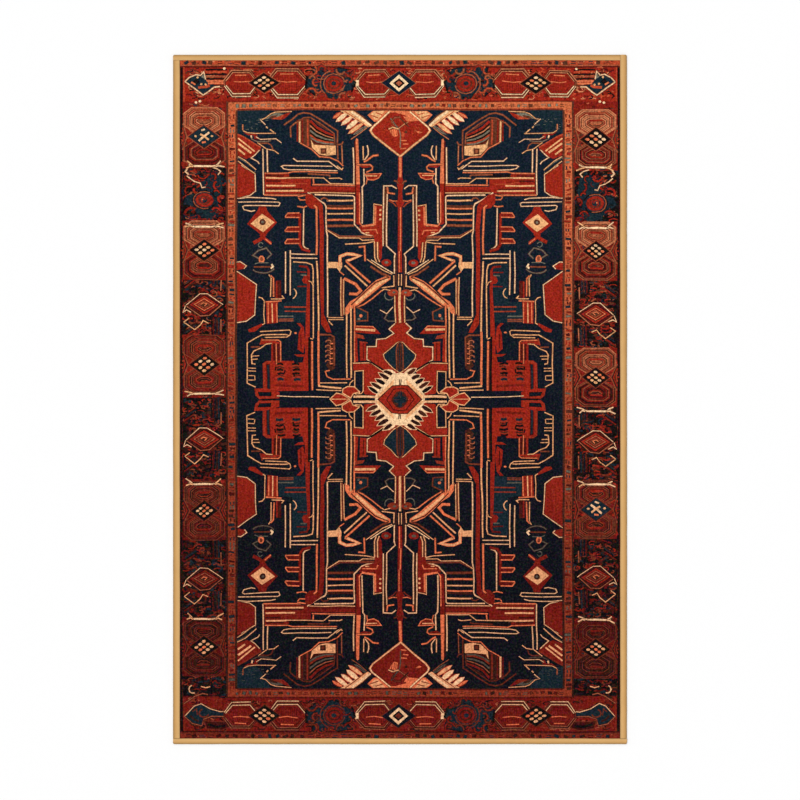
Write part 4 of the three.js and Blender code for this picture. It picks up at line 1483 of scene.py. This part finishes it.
QUARTER_MOTIFS = (
    edge_octagons, striped_flag, corner_banner, tall_double_lines, striped_band, house, stacked_lines,
    dotted_diamond, comb, ladder, main_upright, feathered_wing, uprights_beside_spine, spine, end_pentagon,
    inner_bracket, hooked_star, lamp_and_prongs, nested_frames, medallion, palmette, sun_diamond,
    hatched_block, toothed_bracket, posts_and_trapezoid,
)
for flip_x in (1, -1):
    for flip_y in (1, -1):
        with placed(scale_x=flip_x, scale_y=flip_y):
            for motif in QUARTER_MOTIFS:
                motif()
    with placed(scale_x=flip_x):
        yarn("straw", 0.36, [(-43.4, 1.2), (-38, 0.9), (-25, 0.7)], "ink")
for end in (1, -1):
    with placed(scale_y=end):
        pentagon_sprig()
print(len(cartoon.shapes), "shapes in the whole cartoon")

# %% [markdown]
# ## From cartoon to cloth
# The shapes overlap, but a cloth is one sheet. A constrained Delaunay triangulation cuts all
# the outlines into one mesh of triangles and says which shapes cover each triangle. The
# last shape drawn wins and gives the triangle its dye. Before that, a slow ripple of a
# millimetre or two bends every line, so that nothing is ruled.

# %% Weave the face cloth
RIPPLE = 0.16  # cm that a line may wander
RIPPLE_FADE = 3.0  # cm from the rim over which the ripple dies away
SLOW_RIPPLE, QUICK_RIPPLE = 0.09, 0.45  # noise steps for each cm
GRID_STEP = 4.0  # cm between extra points that let plain ground bend
CUT_ACCURACY = 1e-5


def drawn_by_hand(x, y):
    """A place in the cartoon, moved a little by the ripple. The outer rim stays where it is."""
    slow = noise.noise_vector(Vector((x * SLOW_RIPPLE, y * SLOW_RIPPLE, 1.7)))
    quick = noise.noise_vector(Vector((x * QUICK_RIPPLE, y * QUICK_RIPPLE, 9.1)))
    edge = min(1.0, (RIM_X - abs(x)) / RIPPLE_FADE, (RIM_Y - abs(y)) / RIPPLE_FADE)
    reach = RIPPLE * max(0.0, edge)
    return x + reach * (2.0 * slow.x + quick.x), y + reach * (2.0 * slow.y + quick.y)


def drift(y, start, stop):
    """How far a dye has drifted at a height on the rug: 0 is the top colour, 1 the bottom one."""
    return smooth_step(start, stop, 0.5 - y / (2 * RIM_Y))


face_top = face_high[2]
rim_top = rug_thickness - TAPE_THICKNESS - 0.3 * MM


def face_height(x, y):
    """Height of the face in metres at a place in metres: pressed down along the rim."""
    inside = min(tape_x * CM - abs(x), tape_y * CM - abs(y))
    pressed = smooth_step(0.0, PRESSED * CM, inside)
    lie = 0.5 * MM * (1.0 + noise.noise(Vector((x * 5.0, y * 5.0, 3.3))))
    return rim_top + (face_top - rim_top) * pressed + lie * pressed


points = []
outlines = []
for _, corners in cartoon.shapes:
    outlines.append(list(range(len(points), len(points) + len(corners))))
    points += [Vector(drawn_by_hand(x, y)) for x, y in corners]
for column in range(int(2 * RIM_X / GRID_STEP)):
    for row in range(int(2 * RIM_Y / GRID_STEP)):
        points.append(Vector((-RIM_X + (column + 0.5) * GRID_STEP, -RIM_Y + (row + 0.5) * GRID_STEP)))
spots, _, triangles, _, _, owners = delaunay_2d_cdt(points, [], outlines, 0, CUT_ACCURACY, True)


def covers(shape, x, y):
    """True if a shape lies over a place.

    A line from the place to the far right then crosses the outline an odd number of times.
    """
    inside = False
    outline = outlines[shape]
    for start, stop in zip(outline, outline[1:] + outline[:1]):
        a, b = points[start], points[stop]
        if (a.y > y) != (b.y > y) and x < a.x + (b.x - a.x) * (y - a.y) / (b.y - a.y):
            inside = not inside
    return inside


def top_shape(triangle, owner):
    """The last shape drawn over a triangle.

    The triangulation's own list isn't enough: an outline that crosses itself claims the whole cloth.
    """
    middle = (spots[triangle[0]] + spots[triangle[1]] + spots[triangle[2]]) / 3
    claims = sorted(owner, reverse=True)
    return next((shape for shape in claims if covers(shape, middle.x, middle.y)), 0)


kept = [(triangle, top_shape(triangle, owner)) for triangle, owner in zip(triangles, owners) if owner]
print(len(spots), "points,", len(kept), "triangles, at most", max(map(len, owners)), "shapes deep")

# %% Face cloth
RIB_PITCH = 2.7 * MM
dye_shapes = [dye for dye, _ in cartoon.shapes]


def dye_at(name, x, y):
    """The colour of a dye at a place in centimetres."""
    top, bottom, start, stop = DYES[name]
    share = drift(y + (LIGHTER_SIDE if x > FIELD_X else 0.0), start, stop)
    return display(*(a + (b - a) * share for a, b in zip(top, bottom)))


wool = Material(
    "patterned_wool", Roughness=0.95, Specular_IOR_Level=0.05, Sheen_Weight=0.02, Sheen_Roughness=0.6
)
dyed = wool.add("ShaderNodeAttribute", {"attribute_name": "dye"})
TUFTS = 150.0
tuft = wool.noise(TUFTS, 5.0, 0.7)
cloud = wool.noise(7.0, 2.0)
streak = wool.noise(1.0, 2.0, 0.6, at=wool.stretched((170.0, 12.0, 1.0)))
shade = 1.0 + (tuft - 0.5) * 2.9 + (streak - 0.5) * 0.8 + (cloud - 0.5) * 0.25
fibre_inputs = {"Vector": wool.place(), "Scale": TUFTS, "Detail": 5.0}
fibres = wool.add("ShaderNodeTexNoise", None, fibre_inputs, output=1)
lint = []
for axis in range(3):
    stray = (wool.part(axis, at=fibres) + tuft) * 0.5
    lint.append((stray - 0.48).clamp() * 0.14 + (streak - 0.52).clamp() * 0.02)
grey = wool.add("ShaderNodeCombineColor", None, {0: shade, 1: shade, 2: shade})
dust = wool.add("ShaderNodeCombineColor", None, {0: lint[0] * 0.6, 1: lint[1] * 0.65, 2: lint[2] * 0.6})
wear_and_painted_shade = wool.blend("ADD", 1.0, wool.blend("MULTIPLY", 1.0, dyed, grey), dust)
rib = wool.wave(wool.part(0), RIB_PITCH)
knot = wool.noise(900.0, 2.0, 0.6)
raised = wool.bump(rib * 0.35 + knot, 0.35, 0.8 * MM)
wool.feed(Base_Color=wear_and_painted_shade, Roughness=(0.86 + knot * 0.14).clamp(), Normal=raised)

cloth_points = [(x * CM, y * CM, face_height(x * CM, y * CM)) for x, y in spots]
cloth_faces = [triangle for triangle, _ in kept]
face_cloth = new_piece("printed_face_cloth", cloth_points, cloth_faces, wool.material)
mesh = face_cloth.data
dyes = mesh.color_attributes.new("dye", "FLOAT_COLOR", "CORNER")
colours = np.empty((len(mesh.loops), 4), dtype=np.float32)
for polygon, (_, owner) in zip(mesh.polygons, kept):
    for loop in polygon.loop_indices:
        x, y = spots[mesh.loops[loop].vertex_index]
        colours[loop] = dye_at(dye_shapes[owner], x, y)
dyes.data.foreach_set("color", colours.ravel())
print("dyed", len(mesh.loops), "corners")

# %% [markdown]
# ## Felt cushion
# Under the face lies a felt, needled from loose fibres, which makes the rug soft underfoot.
# It is a flat slab that the tapes squeeze along its rim. Two grids of points, one for the
# top and one for the bottom, joined round the edge, are enough for that. The grid lines
# crowd together near the rim, where the height changes.

# %% Slabs that are squeezed at the rim
RIM_RISE = 26 * MM  # how far in from the edge a layer has its full thickness


def grid_lines(low, high, step):
    """Places from low to high: crowded over the rim at both ends, then evenly spaced."""
    rim = [0.0, 4 * MM, 11 * MM, 18 * MM, RIM_RISE]
    count = round((high - low - 2 * RIM_RISE) / step)
    middle = [low + RIM_RISE + (high - low - 2 * RIM_RISE) * i / count for i in range(1, count)]
    return [low + r for r in rim] + middle + [high - r for r in reversed(rim)]


def squeezed_slab(name, limits, top, bottom, rim_top, rim_bottom, material, ripple):
    """A closed slab with the given heights in its middle and at its rim."""
    low, high = limits
    xs = grid_lines(low[0], high[0], 40 * MM)
    ys = grid_lines(low[1], high[1], 40 * MM)
    points = []
    for middle_height, rim_height in ((top, rim_top), (bottom, rim_bottom)):
        for x in xs:
            for y in ys:
                inside = min(x - low[0], high[0] - x, y - low[1], high[1] - y)
                share = smooth_step(4 * MM, RIM_RISE, inside)
                wave = ripple * noise.noise(Vector((x * 9.0, y * 9.0, middle_height * 900.0)))
                points.append((x, y, rim_height + (middle_height - rim_height) * share + wave))
    rows, layer = len(ys), len(xs) * len(ys)
    faces = []
    for i in range(len(xs) - 1):
        for j in range(rows - 1):
            a = i * rows + j
            faces.append((a, a + rows, a + rows + 1, a + 1))
            faces.append((a + layer, a + layer + 1, a + layer + rows + 1, a + layer + rows))
    rim = [i * rows for i in range(len(xs))]
    rim += [(len(xs) - 1) * rows + j for j in range(1, rows)]
    rim += [i * rows + rows - 1 for i in range(len(xs) - 2, -1, -1)]
    rim += list(range(rows - 2, 0, -1))
    for a, b in zip(rim, rim[1:] + rim[:1]):
        faces.append((a, a + layer, b + layer, b))
    return new_piece(name, points, faces, material)


# %% Felt
felt_wool = Material("needled_felt", Roughness=0.97, Specular_IOR_Level=0.1)
hair = felt_wool.noise(1.0, 4.0, 0.7, at=felt_wool.stretched((260.0, 900.0, 300.0)))
crossing_hair = felt_wool.noise(1.0, 4.0, 0.7, at=felt_wool.stretched((900.0, 260.0, 300.0)))
clump = felt_wool.noise(60.0, 3.0)
grey_felt = felt_wool.ramp(
    hair * 0.4 + crossing_hair * 0.3 + clump * 0.3,
    [(0.3, (0.30, 0.29, 0.27, 1.0)), (0.5, (0.52, 0.50, 0.47, 1.0)), (0.7, (0.70, 0.68, 0.64, 1.0))],
)
felt_wool.feed(Base_Color=grey_felt, Normal=felt_wool.bump(hair + crossing_hair, 0.5, 0.6 * MM))
felt = squeezed_slab(
    "felt_cushion", (felt_low, felt_high),
    top=felt_high[2] - 0.1 * MM, bottom=felt_low[2] + 0.1 * MM,
    rim_top=felt_high[2] - 0.1 * MM, rim_bottom=felt_low[2] + 1.1 * MM,
    material=felt_wool.material, ripple=0.08 * MM,
)

# %% [markdown]
# ## Grip backing
# The underside is a thin film with rows of small rubbery dots that stop the rug from
# sliding. The dots are real domes here, because the underside is looked at closely when a
# rug is turned over. They are the only part that touches the floor, so the film sits
# half a millimetre above it.

# %% Backing with grip dots
DOT_HEIGHT = 0.5 * MM
DOT_RADIUS = 3.0 * MM
DOT_PITCH = 23.0 * MM
DOT_SIDES = 8
NET_PITCH = 4 * MM

grip = Material("grip_film", Roughness=0.7, Specular_IOR_Level=0.3)
lump = grip.noise(35.0, 3.0)
grain = grip.noise(700.0, 2.0)
net = grip.wave(grip.part(0), NET_PITCH) + grip.wave(grip.part(1), NET_PITCH)
film_colour = grip.ramp(
    lump * 0.5 + grain * 0.3 + net * 0.03,
    [(0.25, (0.60, 0.56, 0.49, 1.0)), (0.5, (0.76, 0.72, 0.64, 1.0))],
)
grip.feed(Base_Color=film_colour, Normal=grip.bump(grain * 0.6 + net * 0.2, 0.4, 0.4 * MM))
backing = squeezed_slab(
    "grip_dot_backing", (backing_low, backing_high),
    top=1.6 * MM, bottom=DOT_HEIGHT,
    rim_top=backing_high[2] - 0.05 * MM, rim_bottom=1.55 * MM,
    material=grip.material, ripple=0.03 * MM,
)


def add_dots(low, high):
    """Adds staggered rows of flat domes that hang from the film."""
    points = []
    faces = []
    margin = RIM_RISE + side_tape / 2
    columns = int((high[0] - low[0] - 2 * margin) / DOT_PITCH)
    rows = int((high[1] - low[1] - 2 * margin) / (DOT_PITCH / 2))
    for column in range(columns):
        for row in range(rows):
            x = low[0] + margin + (column + 0.5 * (row % 2)) * DOT_PITCH
            y = low[1] + margin + row * DOT_PITCH / 2
            first = len(points)
            for radius, height in ((1.0, DOT_HEIGHT * 1.3), (0.8, DOT_HEIGHT * 0.3), (0.4, 0.0)):
                for side in range(DOT_SIDES):
                    angle = math.tau * side / DOT_SIDES
                    reach = DOT_RADIUS * radius
                    points.append((x + reach * math.cos(angle), y + reach * math.sin(angle), height))
            for ring in (0, DOT_SIDES):
                for side in range(DOT_SIDES):
                    a = first + ring + side
                    b = first + ring + (side + 1) % DOT_SIDES
                    faces.append((a, a + DOT_SIDES, b + DOT_SIDES, b))
            faces.append(tuple(first + 2 * DOT_SIDES + side for side in reversed(range(DOT_SIDES))))
            faces.append(tuple(first + side for side in range(DOT_SIDES)))
    return new_piece("grip_dots", points, faces, grip.material)


dots = add_dots(backing_low, backing_high)

# %% [markdown]
# ## Binding tapes
# A woven tan tape is folded round each edge and sewn down. Its section is a long U: an upper
# leg, a round fold and a lower leg. Sewing pulls the tape down along the stitch line, so
# the stretch between the stitches and the fold stands up a little. Each section is a ring
# of points, and the rings are set along the edge with a hand-made unevenness.

# %% Section of a folded tape
FOLD_RADIUS = rug_thickness / 2
STITCH_INSET = 4 * MM
STITCH_LENGTH = 4.5 * MM
CROWN = 0.55 * MM  # how far the tape stands up between the fold and the stitches
LIP = 0.25 * MM  # and between the stitches and its edge
DENT = 0.3 * MM  # how far a stitch pulls it down
DENT_REACH = 1.1 * MM
UPPER_STEPS, FOLD_STEPS, LOWER_STEPS = 16, 10, 6


def tape_section(width, pinch):
    """Points round the section of a tape: (distance in from the fold, height)."""
    half = TAPE_THICKNESS / 2
    reach = FOLD_RADIUS - half
    stitch = width - STITCH_INSET
    middle = []
    for step in range(UPPER_STEPS + 1):
        inward = width - half - (width - half - FOLD_RADIUS) * step / UPPER_STEPS
        if inward < stitch:
            crown = CROWN * math.sin(math.pi * (inward - FOLD_RADIUS) / (stitch - FOLD_RADIUS)) ** 2
        else:
            crown = LIP * math.sin(math.pi * (inward - stitch) / STITCH_INSET)
        dent = DENT * pinch * math.exp(-(((inward - stitch) / DENT_REACH) ** 2))
        middle.append(((inward, FOLD_RADIUS + reach + crown - dent), (0.0, 1.0)))
    for step in range(1, FOLD_STEPS):
        angle = math.radians(90 + 180 * step / FOLD_STEPS)
        direction = (math.cos(angle), math.sin(angle))
        middle.append(((FOLD_RADIUS + reach * direction[0], FOLD_RADIUS + reach * direction[1]), direction))
    for step in range(LOWER_STEPS + 1):
        inward = FOLD_RADIUS + (width - half - FOLD_RADIUS) * step / LOWER_STEPS
        middle.append(((inward, half), (0.0, -1.0)))
    outside = [(x + nx * half, z + nz * half) for (x, z), (nx, nz) in middle]
    inside = [(x - nx * half, z - nz * half) for (x, z), (nx, nz) in reversed(middle)]
    upper_end = (width, FOLD_RADIUS + reach)
    lower_end = (width, half)
    return [upper_end] + outside + [lower_end] + inside


def along_edge(edge, along, inward, height):
    """Turns a place on an edge into a point of the rug."""
    if edge == "left":
        return (rug_low[0] + inward, along, height)
    if edge == "right":
        return (rug_high[0] - inward, along, height)
    if edge == "top":
        return (along, rug_high[1] - inward, height)
    return (along, rug_low[1] + inward, height)


def sway(edge, along, reach):
    """Slow unevenness along an edge, the same for the tape and for its stitches."""
    row = EDGES.index(edge) * 7.3
    slow = noise.noise(Vector((along * 5.0, row, 0.5)))
    quick = noise.noise(Vector((along * 23.0, row, 4.5)))
    return reach * (slow + 0.5 * quick)


# %% Tape cloth
TWILL_PITCH = 1.4 * MM
tape_cloth = Material("woven_tape", Roughness=0.9, Specular_IOR_Level=0.1, Sheen_Weight=0.02)
# Nearness to the fold: the colour ramp below paints shade from it, darkest at the fold.
fold = tape_cloth.add("ShaderNodeAttribute", {"attribute_name": "fold"}, output=2)
twill = tape_cloth.part(0) + tape_cloth.part(1)
rib_line = tape_cloth.wave(twill, TWILL_PITCH)
yarn_noise = tape_cloth.noise(1500.0, 2.0)
blotch = tape_cloth.noise(22.0, 3.0, 0.6)
# Painted shade: the tape's tan is a little darker at its inner edge and much darker at the fold, where the
# tape turns away from the overhead light.
FOLD_SHADE_COLOURS = (  # from the tape's inner edge to the fold
    (0.0, (196, 155, 102)), (0.2, (214, 171, 113)), (0.6, (206, 158, 100)), (1.0, (158, 122, 72)),
)
tan_with_painted_shade = tape_cloth.ramp(fold, [(share, display(*colour)) for share, colour in FOLD_SHADE_COLOURS])
tape_shade = 0.86 + blotch * 0.16 + yarn_noise * 0.12 + rib_line * 0.02
tape_grey = tape_cloth.add("ShaderNodeCombineColor", None, {0: tape_shade, 1: tape_shade, 2: tape_shade})
tape_colour = tape_cloth.blend("MULTIPLY", 1.0, tan_with_painted_shade, tape_grey)
tape_cloth.feed(
    Base_Color=tape_colour,
    Roughness=(0.82 + yarn_noise * 0.16).clamp(),
    Normal=tape_cloth.bump(rib_line * 0.5 + yarn_noise, 0.5, 0.3 * MM),
)


# %% Make the tapes
def make_tape(edge):
    """A closed tube of tape along an edge, with its free ends rounded off in plan."""
    low, high = tape_box[edge]
    axis = LONG_AXIS[edge]
    width = tape_width[edge]
    start, stop = low[axis], high[axis]
    corner = rug_length / 2 if axis else rug_width / 2
    free_start = abs(start + corner) < 2 * MM
    free_stop = abs(stop - corner) < 2 * MM
    count = round((stop - start) / (STITCH_LENGTH / 2))
    points, wear_and_painted_shade, rings = [], [], []
    for index in range(count + 1):
        along = start + (stop - start) * index / count
        from_end = min(
            along - start if free_start else 1.0,
            stop - along if free_stop else 1.0,
        )
        rounding = 0.0
        if from_end < FOLD_RADIUS:
            rounding = FOLD_RADIUS - math.sqrt(FOLD_RADIUS ** 2 - (FOLD_RADIUS - from_end) ** 2)
        pinch = 1.0 if index % 2 else 0.55
        section = tape_section(width, pinch)
        outer = sway(edge, along, 0.5 * MM) + rounding
        inner = sway(edge, along + 3.0, 0.7 * MM)
        puff = sway(edge, along + 9.0, 0.35 * MM)
        ring = []
        for inward, height in section:
            share = inward / width
            top_side = max(0.0, height - FOLD_RADIUS) / FOLD_RADIUS
            place = inward + outer * (1.0 - share) + inner * share
            lift = puff * top_side * math.sin(math.pi * share)
            ring.append(len(points))
            points.append(along_edge(edge, along, place, height + lift))
            # Nearness to the fold, from which the tape's material paints its shade.
            wear_and_painted_shade.append(min(1.0, max(0.0, 1.0 - inward / width)))
        rings.append(ring)
    faces = []
    size = len(rings[0])
    flip = edge in ("left", "bottom")
    for here, there in zip(rings, rings[1:]):
        for a in range(size):
            b = (a + 1) % size
            face = (here[a], there[a], there[b], here[b])
            faces.append(face[::-1] if flip else face)
    for ring, turned in ((rings[0], flip), (rings[-1], not flip)):
        cap = [(ring[0], ring[1], ring[-1])]
        cap += [(ring[a], ring[a + 1], ring[-a - 1], ring[-a]) for a in range(1, size // 2 - 1)]
        faces += [face[::-1] if turned else face for face in cap]
    tape = new_piece("edge_tape_" + edge, points, faces, tape_cloth.material)
    tape.data.attributes.new("fold", "FLOAT", "POINT").data.foreach_set("value", wear_and_painted_shade)
    return tape


tapes = {edge: make_tape(edge) for edge in EDGES}

# %% [markdown]
# ## Stitches
# A lockstitch shows as a row of short strands on both faces. Each strand rises out of one
# hole, runs along the tape and dives into the next. One long tube whose height goes up and
# down in a rectified wave gives that, and it stays a single piece for each row.

# %% Thread
TWIST_PITCH = 0.9 * MM
spun = Material("tan_thread", Roughness=0.75, Specular_IOR_Level=0.2)
twist = spun.wave(spun.part(0) + spun.part(1) + spun.part(2), TWIST_PITCH)
lint = spun.noise(900.0, 2.0)
thread_colour = spun.ramp(
    lint * 0.6 + twist * 0.2 + 0.2,
    [(0.2, display(150, 112, 66)), (0.5, display(196, 154, 98)), (0.8, display(222, 184, 128))],
)
spun.feed(Base_Color=thread_colour, Normal=spun.bump(twist + lint, 0.4, 0.15 * MM))

THREAD_RADIUS = 0.25 * MM
THREAD_SIDES = 6
STEPS_PER_STITCH = 6


def make_stitches(edge, side):
    """A row of stitches on the upper leg of a tape, or on the lower one."""
    low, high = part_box(f"{side}_thread_{edge}")
    axis = LONG_AXIS[edge]
    width = tape_width[edge]
    start, stop = low[axis], high[axis]
    count = round((stop - start) / STITCH_LENGTH)
    centre = (low[2] + high[2]) / 2
    points, faces = [], []
    total = count * STEPS_PER_STITCH
    for index in range(total + 1):
        along = start + (stop - start) * index / total
        rise = abs(math.sin(math.pi * index / STEPS_PER_STITCH)) ** 0.6
        if side == "needle":
            height = centre - 0.45 * MM + 0.75 * MM * rise
            inward = width - STITCH_INSET + sway(edge, along + 3.0, 0.6 * MM)
        else:
            height = centre + 0.30 * MM - 0.30 * MM * rise
            inward = width - STITCH_INSET + sway(edge, along + 5.0, 0.3 * MM)
        for spoke in range(THREAD_SIDES):
            angle = math.tau * spoke / THREAD_SIDES
            across = inward + THREAD_RADIUS * math.cos(angle)
            points.append(along_edge(edge, along, across, height + THREAD_RADIUS * math.sin(angle)))
    flip = edge in ("left", "bottom")
    for index in range(total):
        for spoke in range(THREAD_SIDES):
            a = index * THREAD_SIDES + spoke
            b = index * THREAD_SIDES + (spoke + 1) % THREAD_SIDES
            face = (a, b, b + THREAD_SIDES, a + THREAD_SIDES)
            faces.append(face[::-1] if flip else face)
    first = tuple(range(THREAD_SIDES))
    last = tuple(total * THREAD_SIDES + spoke for spoke in range(THREAD_SIDES))
    faces.append(first if flip else first[::-1])
    faces.append(last[::-1] if flip else last)
    name = "top_stitches_" if side == "needle" else "under_stitches_"
    return new_piece(name + edge, points, faces, spun.material)


stitches = {(edge, side): make_stitches(edge, side) for edge in EDGES for side in ("needle", "bobbin")}

# %% [markdown]
# ## Tie the pieces to the frame
# Each piece is tied to the body it moves with, and the CAD nodes that it stands for are
# hidden. The rug has no moving parts, so there is one body. The layers and the tapes are
# cloth, and for each tape the size that it was cut to is worked out.

# %% Bodies and nodes
def tie(piece, slot, *nodes):
    """Gives a piece its body and hides the CAD nodes that it stands for; its material slot is not used."""
    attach(piece, "root")
    if nodes:
        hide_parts(*nodes)


tie(face_cloth, "printed_face", "face_cloth")
tie(felt, "felt", "felt_core")
tie(backing, "grip_backing", "grip_backing")
tie(dots, "grip_backing")
for edge in EDGES:
    tie(tapes[edge], "binding_tape", "binding_" + edge)
    for side in ("needle", "bobbin"):
        tie(stitches[edge, side], "sewing_thread", f"{side}_thread_{edge}")

for edge in EDGES:
    axis = LONG_AXIS[edge]
    low, high = tape_box[edge]
    cut_size = (2 * tape_width[edge] + (math.pi - 2) * FOLD_RADIUS, high[axis] - low[axis])
